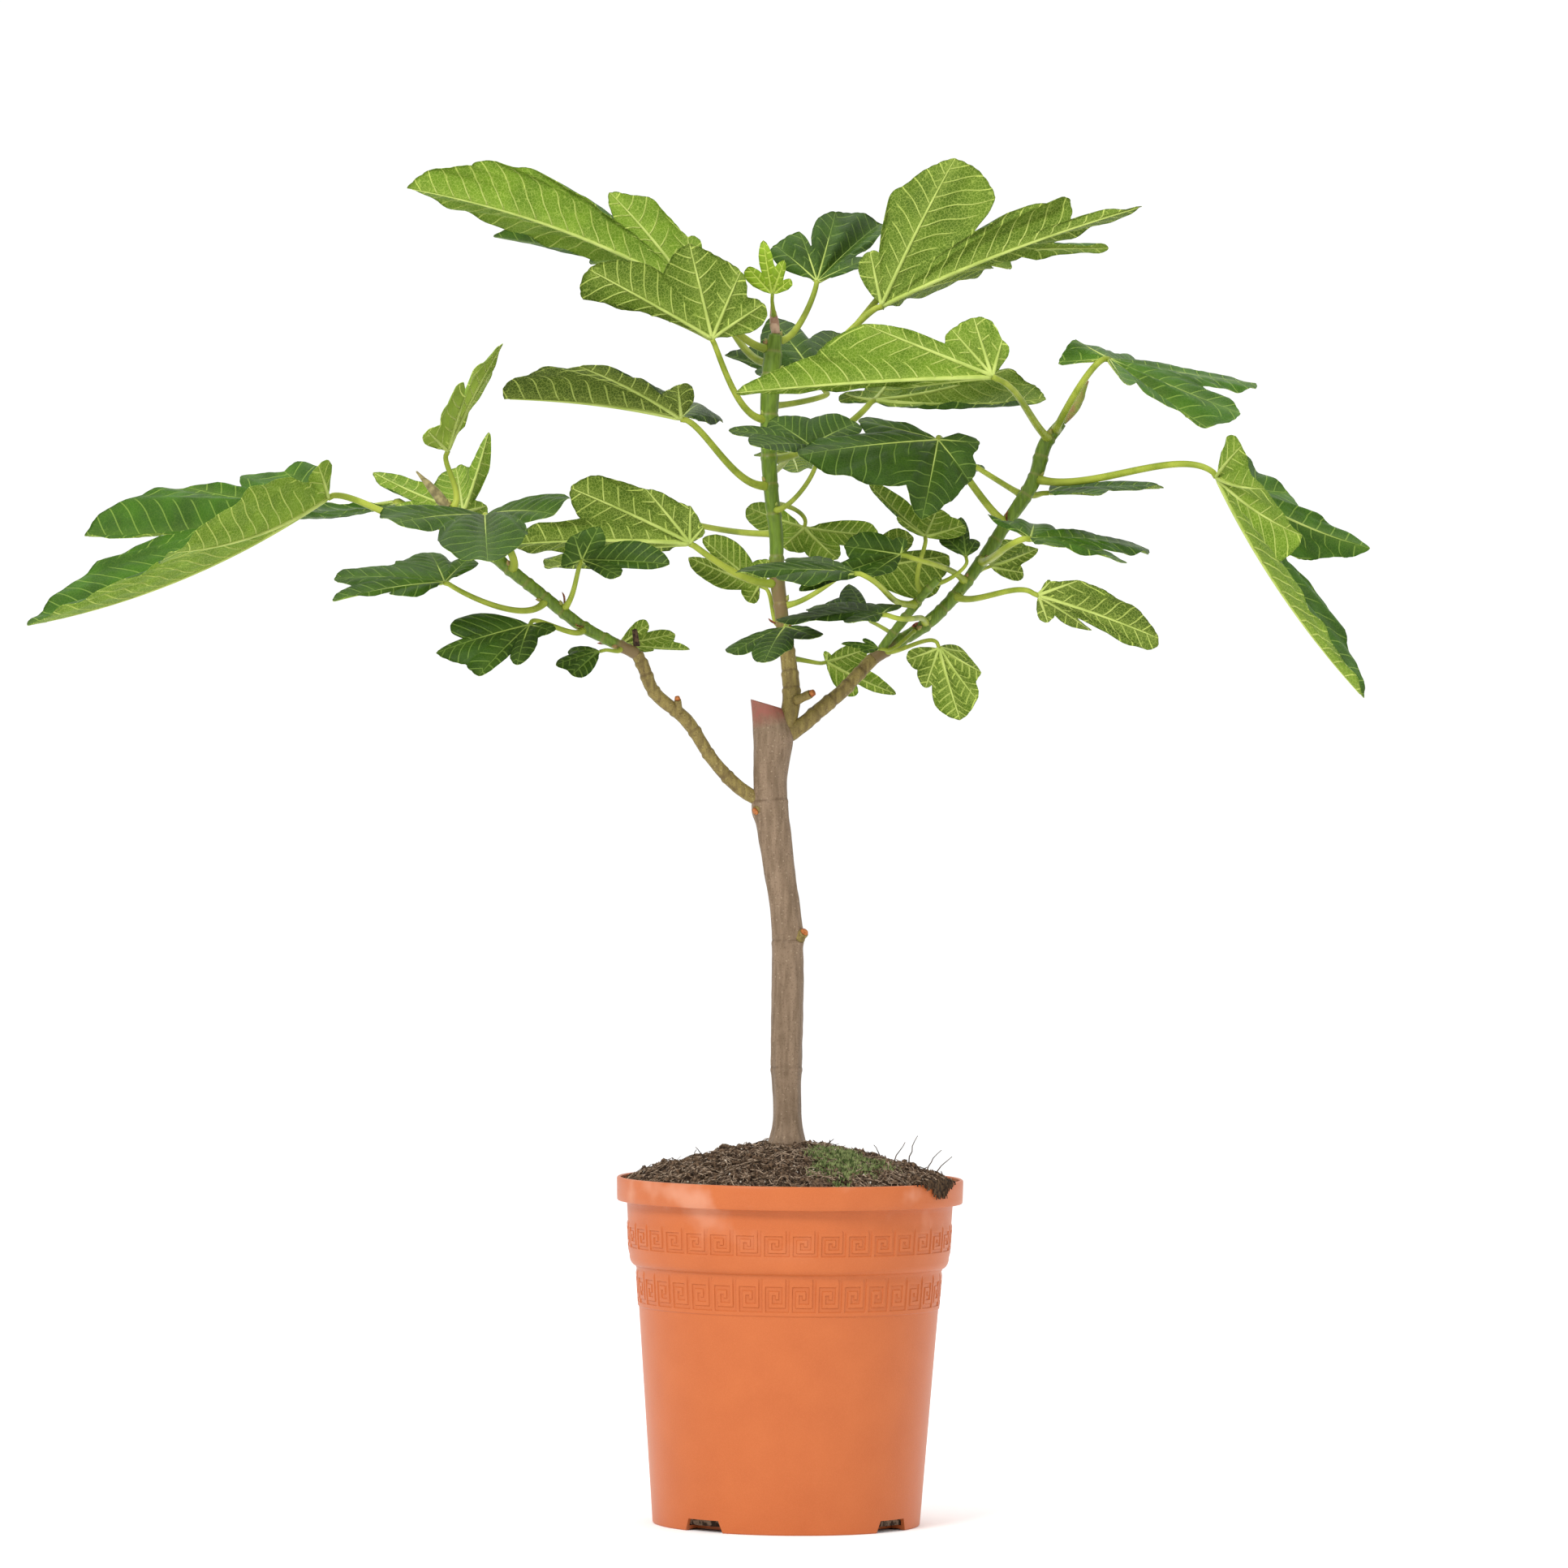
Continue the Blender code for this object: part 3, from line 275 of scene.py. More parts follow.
def linear(code: str) -> tuple[float, float, float, float]:
    """Turns an sRGB hex colour into linear light.

    Args:
        code: Six hex digits, with or without a leading hash.

    Returns:
        Red, green, blue and an alpha of one.
    """
    digits = code.lstrip("#")
    channels = []
    for start in (0, 2, 4):
        value = int(digits[start : start + 2], 16) / 255
        channels.append(value / 12.92 if value <= 0.04045 else ((value + 0.055) / 1.055) ** 2.4)
    return (*channels, 1.0)


def add_node(
    tree: bpy.types.NodeTree, kind: str, inputs: dict | None = None, **settings: object
) -> bpy.types.Node:
    """Adds a shader node with its settings and links.

    Args:
        tree: The material's node tree.
        kind: The node's type name.
        inputs: Values or output sockets, by the input's name or number.
        settings: The node's own properties.

    Returns:
        The new node.
    """
    node = tree.nodes.new(kind)
    for name, value in settings.items():
        setattr(node, name, value)
    for socket, value in (inputs or {}).items():
        if isinstance(value, Socket):
            tree.links.new(value, node.inputs[socket])
        else:
            node.inputs[socket].default_value = value
    return node


class Finish:
    """A surface finish: a material that is built once and shared."""

    def __init__(self, name: str) -> None:
        """Starts the material with its shader and coordinates.

        Args:
            name: The material's name.
        """
        self.material = bpy.data.materials.new(name)
        self.material.use_nodes = True
        self.tree = self.material.node_tree
        self.shader = self.tree.nodes["Principled BSDF"]
        self.place = add_node(self.tree, "ShaderNodeTexCoord").outputs["Object"]

    def base(self, roughness: float, specular: float, ior: float = 1.45) -> None:
        """Sets the shader's plain numbers."""
        for name, value in (("Roughness", roughness), ("Specular IOR Level", specular), ("IOR", ior)):
            self.shader.inputs[name].default_value = value

    def noise(self, size: float, detail: float) -> Socket:
        """A noise of about this grain.

        Args:
            size: Width of its grains in metres.
            detail: How many finer layers it has.

        Returns:
            The noise, from 0 to 1.
        """
        inputs = {"Vector": self.place, "Scale": 1 / size, "Detail": detail}
        return add_node(self.tree, "ShaderNodeTexNoise", inputs).outputs["Fac"]

    def streaks(self, width: float, length: float, detail: float) -> Socket:
        """A noise drawn out upwards, the way that the wood grows.

        Args:
            width: Width of a streak in metres.
            length: Its length in metres.
            detail: How many finer layers it has.

        Returns:
            The noise, from 0 to 1.
        """
        scale = (1 / width, 1 / width, 1 / length)
        place = add_node(self.tree, "ShaderNodeMapping", {"Vector": self.place, "Scale": scale})
        inputs = {"Vector": place.outputs["Vector"], "Scale": 1.0, "Detail": detail}
        return add_node(self.tree, "ShaderNodeTexNoise", inputs).outputs["Fac"]

    def cells(self, size: float, feature: str = "F1") -> Socket:
        """Distance to the middle of the nearest of many cells, or to its edge.

        Args:
            size: Width of a cell in metres.
            feature: What the distance is taken to, in the texture's own word.

        Returns:
            The distance, as a share of the cell.
        """
        inputs = {"Vector": self.place, "Scale": 1 / size}
        return add_node(self.tree, "ShaderNodeTexVoronoi", inputs, feature=feature).outputs["Distance"]

    def mark(self, name: str) -> Socket:
        """A number that the mesh carries at its points."""
        node = add_node(self.tree, "ShaderNodeAttribute", attribute_name=name)
        return node.outputs["Fac"]

    def ramp(
        self, value: Socket, low: float, high: float, start: float = 0.0, stop: float = 1.0
    ) -> Socket:
        """Maps one range smoothly to another.

        Args:
            value: What is mapped.
            low: Where the first range starts.
            high: Where it stops.
            start: What low becomes.
            stop: What high becomes.

        Returns:
            The mapped value.
        """
        node = add_node(
            self.tree,
            "ShaderNodeMapRange",
            {"Value": value, "From Min": low, "From Max": high, "To Min": start, "To Max": stop},
            interpolation_type="SMOOTHSTEP",
        )
        return node.outputs["Result"]

    def math(self, operation: str, *values: object, clamp: bool = False) -> Socket:
        """One arithmetic step.

        Args:
            operation: The step's name.
            values: Numbers or sockets.
            clamp: Whether the result is kept from 0 to 1.

        Returns:
            The result.
        """
        node = add_node(
            self.tree, "ShaderNodeMath", dict(enumerate(values)), operation=operation, use_clamp=clamp
        )
        return node.outputs["Value"]

    def mix(self, factor: object, first: object, second: object) -> Socket:
        """Mixes two colours.

        Args:
            factor: Share of the second.
            first: A socket or a hex code.
            second: A socket or a hex code.

        Returns:
            The mixed colour.
        """
        inputs = {0: factor}
        for socket, colour in ((6, first), (7, second)):
            inputs[socket] = linear(colour) if isinstance(colour, str) else colour
        node = add_node(self.tree, "ShaderNodeMix", inputs, data_type="RGBA")
        return node.outputs[2]

    def colour(self, socket: Socket) -> None:
        """Takes the base colour from a socket."""
        self.tree.links.new(socket, self.shader.inputs["Base Color"])

    def roughness(self, socket: Socket) -> None:
        """Takes the roughness from a socket."""
        self.tree.links.new(socket, self.shader.inputs["Roughness"])

    def bump(self, height: Socket, depth: float) -> None:
        """Raises the surface by a height of 0 to 1 times a depth in metres."""
        node = add_node(self.tree, "ShaderNodeBump", {"Height": height, "Distance": depth, "Strength": 1.0})
        self.tree.links.new(node.outputs["Normal"], self.shader.inputs["Normal"])


@dataclass(frozen=True)
class MouldedPolypropylene:
    """Polypropylene of a nursery pot, injection-moulded in a tool with an etched face.

    The etched face gives an even orange with a soft, wide sheen. Use leaves a chalky haze from
    hard water on the upper band, and a few specks of soil.
    """

    body: str = "#ba6535"
    deep: str = "#ae5a2d"
    lit: str = "#d0764a"
    haze: str = "#c98f74"
    speck: str = "#5a3322"
    haze_foot: float = 0.160
    haze_top: float = 0.205
    haze_patch: float = 38 * MM
    haze_most: float = 0.75
    mottle: float = 22 * MM
    # The real etching is about 0.1 mm, too fine for the picture, so it is drawn coarser.
    etched_grain: float = 0.7 * MM
    etched_depth: float = 0.07 * MM
    speck_apart: float = 9 * MM
    speck_patch: float = 14 * MM

    def build(self) -> bpy.types.Material:
        """Builds the material.

        Returns:
            The material.
        """
        f = Finish("terracotta_polypropylene")
        f.base(roughness=0.42, specular=0.25, ior=1.49)
        height = add_node(f.tree, "ShaderNodeSeparateXYZ", {"Vector": f.place}).outputs["Z"]
        colour = f.mix(f.noise(self.mottle, 4.0), self.body, self.deep)
        patches = f.ramp(f.noise(self.haze_patch, 3.0), 0.48, 0.68)
        lift = f.math("MULTIPLY", f.ramp(height, self.haze_foot, self.haze_top), patches)
        colour = f.mix(f.math("MULTIPLY", lift, self.haze_most), colour, self.haze)
        grain = f.noise(self.etched_grain, 2.0)
        colour = f.mix(f.ramp(grain, 0.35, 0.75, 0.0, 0.14), colour, self.lit)
        dot = f.ramp(f.cells(self.speck_apart), 0.05, 0.03)
        chosen = f.ramp(f.noise(self.speck_patch, 1.0), 0.62, 0.66)
        colour = f.mix(f.math("MULTIPLY", dot, chosen), colour, self.speck)
        f.colour(colour)
        f.roughness(f.ramp(lift, 0.0, 1.0, 0.40, 0.60))
        f.bump(grain, self.etched_depth)
        return f.material


@dataclass(frozen=True)
class PottingPeat:
    """Sphagnum peat with fine bark, loose on top.

    The eye sees dark brown crumbs, paler and greyer on their crests and darker in the hollows between them.
    """

    hollow_colour: str = "#2a1c12"
    crest_colour: str = "#74604f"
    crumb: float = 2.5 * MM
    crumb_depth: float = 0.8 * MM

    def build(self) -> bpy.types.Material:
        """Builds the material.

        Returns:
            The material.
        """
        f = Finish("potting_peat")
        f.base(roughness=0.95, specular=0.2)
        crumbs = f.noise(self.crumb, 5.0)
        # Darker where the crumbs' relief is low and paler on its crests, from the one noise that also raises
        # them.
        f.colour(f.mix(f.ramp(crumbs, 0.42, 0.66), self.hollow_colour, self.crest_colour))
        f.bump(crumbs, self.crumb_depth)
        return f.material


@dataclass(frozen=True)
class PlainOrganic:
    """Small dry or living bits, too small to show more than their tint and its unevenness."""

    name: str
    tint: str
    shade: str
    roughness: float = 0.85
    grain: float = 2 * MM

    def build(self) -> bpy.types.Material:
        """Builds the material.

        Returns:
            The material.
        """
        f = Finish(self.name)
        f.base(roughness=self.roughness, specular=0.25)
        f.colour(f.mix(f.ramp(f.noise(self.grain, 3.0), 0.35, 0.65), self.shade, self.tint))
        return f.material


@dataclass(frozen=True)
class FigBark:
    """Smooth young fig bark, stretched by growth and weathered.

    The eye sees grey-brown skin with fine streaks along the limb, pale lenticel dots and
    darker rings where leaves have fallen.
    """

    name: str = "fig_bark"
    pale: str = "#85705b"
    brown: str = "#6b5844"
    dot: str = "#a08c74"
    ring: str = "#4f3c2b"
    fresh: str = "#8c5549"
    streak: float = 2.6 * MM
    streak_length: float = 23.4 * MM
    patch: float = 11 * MM
    lenticel: float = 3.2 * MM
    # The real specks are finer than a pixel of the picture, so they are drawn this wide.
    fine_speck: float = 0.9 * MM
    worn_patch: float = 6 * MM
    fresh_patch: float = 5 * MM
    relief: float = 0.25 * MM

    def build(self) -> bpy.types.Material:
        """Builds the material.

        Returns:
            The material.
        """
        f = Finish(self.name)
        f.base(roughness=0.55, specular=0.25)
        streaks = f.streaks(self.streak, self.streak_length, 5.0)
        colour = f.mix(f.ramp(streaks, 0.30, 0.72), self.brown, self.pale)
        colour = f.mix(f.ramp(f.noise(self.patch, 3.0), 0.42, 0.66, 0.0, 0.45), colour, self.pale)
        spot = f.ramp(f.cells(self.lenticel), 0.22, 0.12)
        colour = f.mix(f.math("MULTIPLY", spot, 0.55), colour, self.dot)
        specks = f.ramp(f.noise(self.fine_speck, 2.0), 0.54, 0.70, 0.0, 0.55)
        colour = f.mix(specks, colour, self.ring)
        patches = f.ramp(f.noise(self.worn_patch, 2.0), 0.35, 0.60, 0.25, 0.85)
        colour = f.mix(f.math("MULTIPLY", f.mark("ring"), patches), colour, self.ring)
        patches = f.ramp(f.noise(self.fresh_patch, 4.0), 0.30, 0.60, 0.55, 1.0)
        colour = f.mix(f.math("MULTIPLY", f.mark("fresh"), patches), colour, self.fresh)
        f.colour(colour)
        f.bump(f.math("ADD", streaks, f.math("MULTIPLY", spot, 0.5)), self.relief)
        return f.material


@dataclass(frozen=True)
class GreenShoot:
    """This year's soft shoot, still green.

    The eye sees olive skin that browns towards its foot, with faint lengthwise lines and
    brown rings at the leaf joints.
    """

    green: str = "#66801f"
    olive: str = "#526a14"
    brown: str = "#6f5c38"
    ring: str = "#8a7c48"
    line: float = 1.6 * MM
    line_length: float = 12 * MM
    patch: float = 9 * MM
    relief: float = 0.12 * MM

    def build(self) -> bpy.types.Material:
        """Builds the material.

        Returns:
            The material.
        """
        f = Finish("green_shoot")
        f.base(roughness=0.45, specular=0.4)
        lines = f.streaks(self.line, self.line_length, 3.0)
        colour = f.mix(f.ramp(lines, 0.35, 0.68), self.olive, self.green)
        aged = f.math("MULTIPLY", f.mark("aged"), f.ramp(f.noise(self.patch, 4.0), 0.2, 0.7, 0.7, 1.2))
        colour = f.mix(f.math("MINIMUM", aged, 1.0), colour, self.brown)
        colour = f.mix(f.math("MULTIPLY", f.mark("ring"), 0.6), colour, self.ring)
        f.colour(colour)
        f.bump(lines, self.relief)
        return f.material


@dataclass(frozen=True)
class LeafSkin:
    """One side of a fig leaf.

    The upper skin is a dull, slightly leathery green with fine pale veins. The lower one is
    paler and downy, with a bright raised net of veins.
    """

    name: str
    green: str
    shade: str
    vein: str
    roughness: float
    vein_strength: float
    net_strength: float
    raised: bool
    main_width: float = 0.80 * MM
    side_width: float = 0.42 * MM
    # The real net has meshes of 1 mm and less, too fine for the picture, so it is drawn coarser.
    net_cell: float = 2.1 * MM
    net_finer: float = 2.6
    patch: float = 17 * MM
    near_midrib: float = 7 * MM
    relief: float = 0.35 * MM

    def veins(self, f: Finish) -> Socket:
        """How much of a main or a side vein shows.

        Args:
            f: The finish.

        Returns:
            A value of 0 to 1.
        """
        half = f.ramp(f.mark("outward"), 0.0, 1.0, self.main_width * 1.5, self.main_width * 0.35)
        main = f.math("SUBTRACT", 1.0, f.math("DIVIDE", f.mark("midrib"), half), clamp=True)
        from_line = f.math("PINGPONG", f.mark("rank"), 0.5)
        half = f.math("DIVIDE", self.side_width * 1.7, f.mark("spacing"))
        side = f.math("SUBTRACT", 1.0, f.math("DIVIDE", from_line, half), clamp=True)
        apart = f.ramp(f.mark("meeting"), 0.25, 0.85, 1.0, 0.0)
        side = f.math("MULTIPLY", f.ramp(side, 0.0, 0.6), apart)
        return f.math("MAXIMUM", f.ramp(main, 0.0, 0.45), f.math("MULTIPLY", side, 0.8))

    def net(self, f: Finish) -> Socket:
        """How much of the fine net between the veins shows.

        Args:
            f: The finish.

        Returns:
            A value of 0 to 1.
        """
        coarse = f.ramp(f.cells(self.net_cell, "DISTANCE_TO_EDGE"), 0.10, 0.02)
        finer = f.cells(self.net_cell / self.net_finer, "DISTANCE_TO_EDGE")
        fine = f.ramp(finer, 0.16, 0.02, 0.0, 0.4)
        return f.math("MAXIMUM", coarse, fine)

    def build(self) -> bpy.types.Material:
        """Builds the material.

        Returns:
            The material.
        """
        f = Finish(self.name)
        f.base(roughness=self.roughness, specular=0.18, ior=1.42)
        lines, net = self.veins(f), self.net(f)
        colour = f.mix(f.ramp(f.noise(self.patch, 4.0), 0.30, 0.72), self.shade, self.green)
        # The tone mark lightens or darkens the green: partly the leaf's own green, partly painted light and
        # shade.
        value = f.math("MULTIPLY_ADD", f.mark("tone"), 0.35, 1.0)
        toned = add_node(f.tree, "ShaderNodeHueSaturation", {"Color": colour, "Value": value})
        near = f.ramp(f.mark("midrib"), self.near_midrib, 0.0, 0.0, 0.12)
        colour = f.mix(near, toned.outputs["Color"], self.vein)
        colour = f.mix(f.math("MULTIPLY", net, self.net_strength), colour, self.vein)
        colour = f.mix(f.math("MULTIPLY", lines, self.vein_strength), colour, self.vein)
        f.colour(colour)
        bumps = f.math("MAXIMUM", f.math("MULTIPLY", net, min(0.35, self.net_strength * 2)), lines)
        if not self.raised:
            bumps = f.math("SUBTRACT", 1.0, bumps)
        f.bump(bumps, self.relief)
        return f.material


class Finishes:
    """Every finish of the plant and its pot, built once."""

    def __init__(self) -> None:
        """Builds the materials."""
        self.pot = MouldedPolypropylene().build()
        self.peat = PottingPeat().build()
        self.fibre = PlainOrganic("dry_fibre", "#a8937e", "#5a4736").build()
        self.crumb = PlainOrganic("bark_crumb", "#6d5743", "#2e2015").build()
        self.grit = PlainOrganic("pale_grit", "#e2dccf", "#a89c8a").build()
        self.moss = PlainOrganic("moss", "#88925c", "#3a4a1e", 0.85, 4 * MM).build()
        self.stem = PlainOrganic("dry_stem", "#5a4632", "#2d2118").build()
        self.bark = FigBark().build()
        self.bough = FigBark("bough_bark", "#8a7a44", "#645430", "#9c8c5a", "#4e3c24").build()
        self.wood = PlainOrganic("cut_wood", "#dfc196", "#b98f60", 0.7).build()
        self.resin = PlainOrganic("cut_stub", "#b5703a", "#8a4a22", 0.6).build()
        self.shoot = GreenShoot().build()
        self.leader_bud = PlainOrganic("pinkish_bud", "#b3957c", "#8d6c56", 0.5, 4 * MM).build()
        self.left_bud = PlainOrganic("olive_bud", "#958a5c", "#6c6240", 0.5, 4 * MM).build()
        self.right_bud = PlainOrganic("green_bud", "#8c9c46", "#98784e", 0.5, 7 * MM).build()
        self.stipule = PlainOrganic("dry_stipule", "#9a5c3c", "#5c2e1c", 0.7).build()
        self.stalk = PlainOrganic("leaf_stalk", "#9ba63c", "#7f8e2a", 0.45, 14 * MM).build()
        self.vein = PlainOrganic("leaf_vein", "#b2c066", "#9cad52", 0.5, 14 * MM).build()
        # Green, shade and vein of the upper skin, then of the lower one.
        greens = {
            LeafAgeAndShade.YOUNG: (("#80a01e", "#688614", "#c2d45c"), ("#8fa83c", "#7a9130", "#ccd970")),
            LeafAgeAndShade.GROWN: (("#335a06", "#264604", "#86a244"), ("#5e7c18", "#4a680f", "#b8c860")),
            # SHADED: darker greens, painted shade for leaves that sit in shade.
            LeafAgeAndShade.SHADED: (("#2c4a06", "#1f3804", "#728c3c"), ("#4e6c18", "#3c5a12", "#a0b254")),
        }
        self.upper, self.under = {}, {}
        for age_and_shade, (top, low) in greens.items():
            net = 0.0 if age_and_shade is LeafAgeAndShade.YOUNG else 1.0
            self.upper[age_and_shade] = LeafSkin("leaf_upper_" + age_and_shade.value, *top, 0.45, 0.7, 0.12 * net, False).build()
            self.under[age_and_shade] = LeafSkin("leaf_under_" + age_and_shade.value, *low, 0.65, 0.95, 0.34 * net, True).build()


class Ripple:
    """Smooth noise of about -1 to 1, as a sum of plane waves with seeded directions."""

    def __init__(self, seed: int, wavelength: float, waves: int = 10) -> None:
        """Draws the waves.

        Args:
            seed: Start of the random draws.
            wavelength: Typical wavelength in metres.
            waves: Number of waves.
        """
        rng = np.random.default_rng(seed)
        vectors = rng.normal(size=(waves, 3))
        vectors /= np.linalg.norm(vectors, axis=1)[:, None]
        self.vectors = vectors * rng.uniform(0.6, 1.7, (waves, 1)) * math.tau / wavelength
        self.phases = rng.uniform(0, math.tau, waves)

    def __call__(self, points: Array) -> Array:
        """The noise at points of shape (..., 3)."""
        return np.sin(points @ self.vectors.T + self.phases).mean(axis=-1) * 2.2


def unit(vectors: Array) -> Array:
    """Vectors scaled to length one."""
    return vectors / np.maximum(np.linalg.norm(vectors, axis=-1, keepdims=True), 1e-12)


def slerp(start: Array, stop: Array, t: Array) -> Array:
    """Turns one unit direction into another.

    Args:
        start: The first direction.
        stop: The last one.
        t: Shares of the way round.

    Returns:
        A unit direction for each share.
    """
    angle = max(1e-5, math.acos(float(np.clip(start @ stop, -1, 1))))
    t = np.asarray(t)[:, None]
    return (np.sin((1 - t) * angle) * start + np.sin(t * angle) * stop) / math.sin(angle)


def round_axis(reach: Array, turn: Array, height: Array) -> Array:
    """Points round the upright axis, one row for each turn."""
    return np.stack([reach * np.cos(turn), reach * np.sin(turn), turn * 0 + height], 1)


def run_along(points: Array) -> Array:
    """How far along a line each of its points lies, from 0 at the first."""
    return np.concatenate([[0.0], np.cumsum(np.linalg.norm(np.diff(points, axis=0), axis=1))])


def smooth_line(knots: Sequence[Sequence[float]], step: float) -> Array:
    """A smooth line through knots of any width, sampled about every step.

    Args:
        knots: Rows of coordinates, with further columns such as a radius.
        step: Distance between samples in metres.

    Returns:
        One row per sample.
    """
    rows = np.array(knots, float)
    at = run_along(rows[:, :3])
    if len(rows) > 2:
        slopes = np.gradient(rows, at, axis=0)
    else:
        slopes = np.repeat((rows[1:] - rows[:1]) / at[1], 2, axis=0)
    t = np.linspace(0, at[-1], max(3, int(at[-1] / step) + 1))
    k = np.clip(np.searchsorted(at, t, side="right") - 1, 0, len(rows) - 2)
    width = (at[k + 1] - at[k])[:, None]
    u = (t - at[k])[:, None] / width
    low, high = rows[k], rows[k + 1]
    return (
        low * (1 + 2 * u) * (1 - u) ** 2
        + high * u**2 * (3 - 2 * u)
        + slopes[k] * width * u * (1 - u) ** 2
        - slopes[k + 1] * width * u**2 * (1 - u)
    )


class Frames(NamedTuple):
    """Directions along a line and two sides across it, at each of its points."""

    along: Array
    side: Array
    other: Array

    def outward(self, turn: Array) -> Array:
        """Directions away from the line, one row for each turn round it."""
        return np.cos(turn)[:, None, None] * self.side + np.sin(turn)[:, None, None] * self.other


def frames_on(line: Array) -> Frames:
    """Frames that follow a line without twisting.

    Args:
        line: Points of shape (n, 3).

    Returns:
        The frames.
    """
    along = unit(np.gradient(line, axis=0))
    side = np.array([0.0, 1.0, 0.0])
    nearly_parallel = 0.95
    if abs(along[0] @ side) > nearly_parallel:
        side = np.array([1.0, 0.0, 0.0])
    sides = []
    for direction in along:
        side = side - (side @ direction) * direction
        side = side / np.linalg.norm(side)
        sides.append(side)
    sides = np.array(sides)
    return Frames(along, sides, np.cross(along, sides))


def grid_faces(rows: int, columns: int, wrapped: bool) -> Array:
    """Quads of a grid of points, facing out where its columns turn left round its rows.

    Args:
        rows: Number of rows of points.
        columns: Points in each row.
        wrapped: Whether the last column joins the first.

    Returns:
        Faces of shape (n, 4).
    """
    row = np.arange(rows - 1)[:, None]
    column = np.arange(columns if wrapped else columns - 1)[None, :]
    after = (column + 1) % columns
    low, high = row * columns, (row + 1) * columns
    return np.stack([low + column, low + after, high + after, high + column], -1).reshape(-1, 4)


class Piece:
    """Points and faces gathered for one shown piece."""

    def __init__(self, name: str, *finishes: bpy.types.Material) -> None:
        """Starts an empty piece.

        Args:
            name: The piece's name.
            finishes: Its materials, by slot.
        """
        self.name = name
        self.finishes = finishes
        self.points: list[Array] = []
        self.faces: list[Array] = []
        self.slots: list[int] = []
        self.marks: dict[str, list[tuple[int, Array]]] = {}
        self.count = 0

    def add(
        self, points: Array, faces: Iterable[Sequence[int]], slot: int = 0, **marks: Array
    ) -> int:
        """Adds points with faces on them.

        Args:
            points: Shape (n, 3).
            faces: Faces by index into these points.
            slot: The material slot.
            marks: Numbers at the points, by name.

        Returns:
            Index of the first point added.
        """
        first = self.count
        self.points.append(np.asarray(points, float).reshape(-1, 3))
        self.count += len(self.points[-1])
        self.add_faces(np.asarray(faces, int) + first, slot)
        for name, values in marks.items():
            self.marks.setdefault(name, []).append((first, np.asarray(values, float).ravel()))
        return first

    def add_faces(self, faces: Array, slot: int) -> None:
        """Adds faces on points that are already there."""
        self.faces.append(faces)
        self.slots.extend([slot] * len(faces))

    def add_point(self, place: Sequence[float]) -> int:
        """Adds one point without a face and gives its index."""
        return self.add(np.array(place), NO_FACES)

    def add_fan(self, middle: int, ring: int, sides: int, at_foot: bool, slot: int = 0) -> None:
        """Closes one end of a tube with triangles round a middle point.

        Args:
            middle: Index of the middle point.
            ring: Index of the end ring's first point.
            sides: Points in the ring.
            at_foot: Whether it is the end where the tube starts.
            slot: The material slot.
        """
        k = np.arange(sides)
        after = (k + 1) % sides
        pair = [ring + after, ring + k] if at_foot else [ring + k, ring + after]
        self.add_faces(np.stack([np.full(sides, middle), *pair], 1), slot)

    def build(self) -> bpy.types.Object:
        """Makes the mesh object and links it to the scene.

        Returns:
            The object.
        """
        points = np.concatenate(self.points)
        corners = np.concatenate([part.ravel() for part in self.faces])
        sizes = np.concatenate([np.full(len(part), part.shape[1]) for part in self.faces])
        starts = np.concatenate([[0], np.cumsum(sizes)[:-1]])
        mesh = bpy.data.meshes.new(self.name)
        mesh.vertices.add(len(points))
        mesh.vertices.foreach_set("co", points.astype(np.float32).ravel())
        mesh.loops.add(len(corners))
        mesh.loops.foreach_set("vertex_index", corners.astype(np.int32))
        mesh.polygons.add(len(sizes))
        mesh.polygons.foreach_set("loop_start", starts.astype(np.int32))
        mesh.polygons.foreach_set("material_index", np.array(self.slots, np.int32))
        for name, parts in self.marks.items():
            values = np.zeros(len(points), np.float32)
            for first, part in parts:
                values[first : first + len(part)] = part
            mesh.attributes.new(name, "FLOAT", "POINT").data.foreach_set("value", values)
        mesh.update(calc_edges=True)
        mesh.shade_smooth()
        for finish in self.finishes:
            mesh.materials.append(finish)
        thing = bpy.data.objects.new(self.name, mesh)
        bpy.context.scene.collection.objects.link(thing)
        return thing

    def place(self, *nodes: str, slot: str) -> bpy.types.Object:
        """Builds the piece, rides it on the plant's one body and reports it.

        Args:
            nodes: The model's nodes that it stands for.
            slot: The record's material slot; not used.

        Returns:
            The piece's object.
        """
        thing = self.build()
        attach(thing, ROOT)
        if nodes:
            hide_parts(*nodes)
        triangles = sum(len(part) * (part.shape[1] - 2) for part in self.faces)
        LOG.info("%s: %d triangles", self.name, triangles)
        return thing


def add_tube(piece: Piece, line: Array, radii: Array, sides: int, slot: int = 0) -> None:
    """Adds a closed tube along a line.

    Args:
        piece: The piece to add to.
        line: Points of shape (n, 3).
        radii: Radius at each point.
        sides: Number of sides.
        slot: The material slot.
    """
    frames = frames_on(line)
    outward = frames.outward(np.arange(sides) * math.tau / sides)
    points = line + outward * radii[:, None]
    points = points.transpose(1, 0, 2).reshape(-1, 3)
    body = len(points)
    points = np.concatenate([points, line[:1], line[-1:]])
    first = piece.add(points, grid_faces(len(line), sides, True), slot)
    piece.add_fan(first + body, first, sides, True, slot)
    piece.add_fan(first + body + 1, first + body - sides, sides, False, slot)


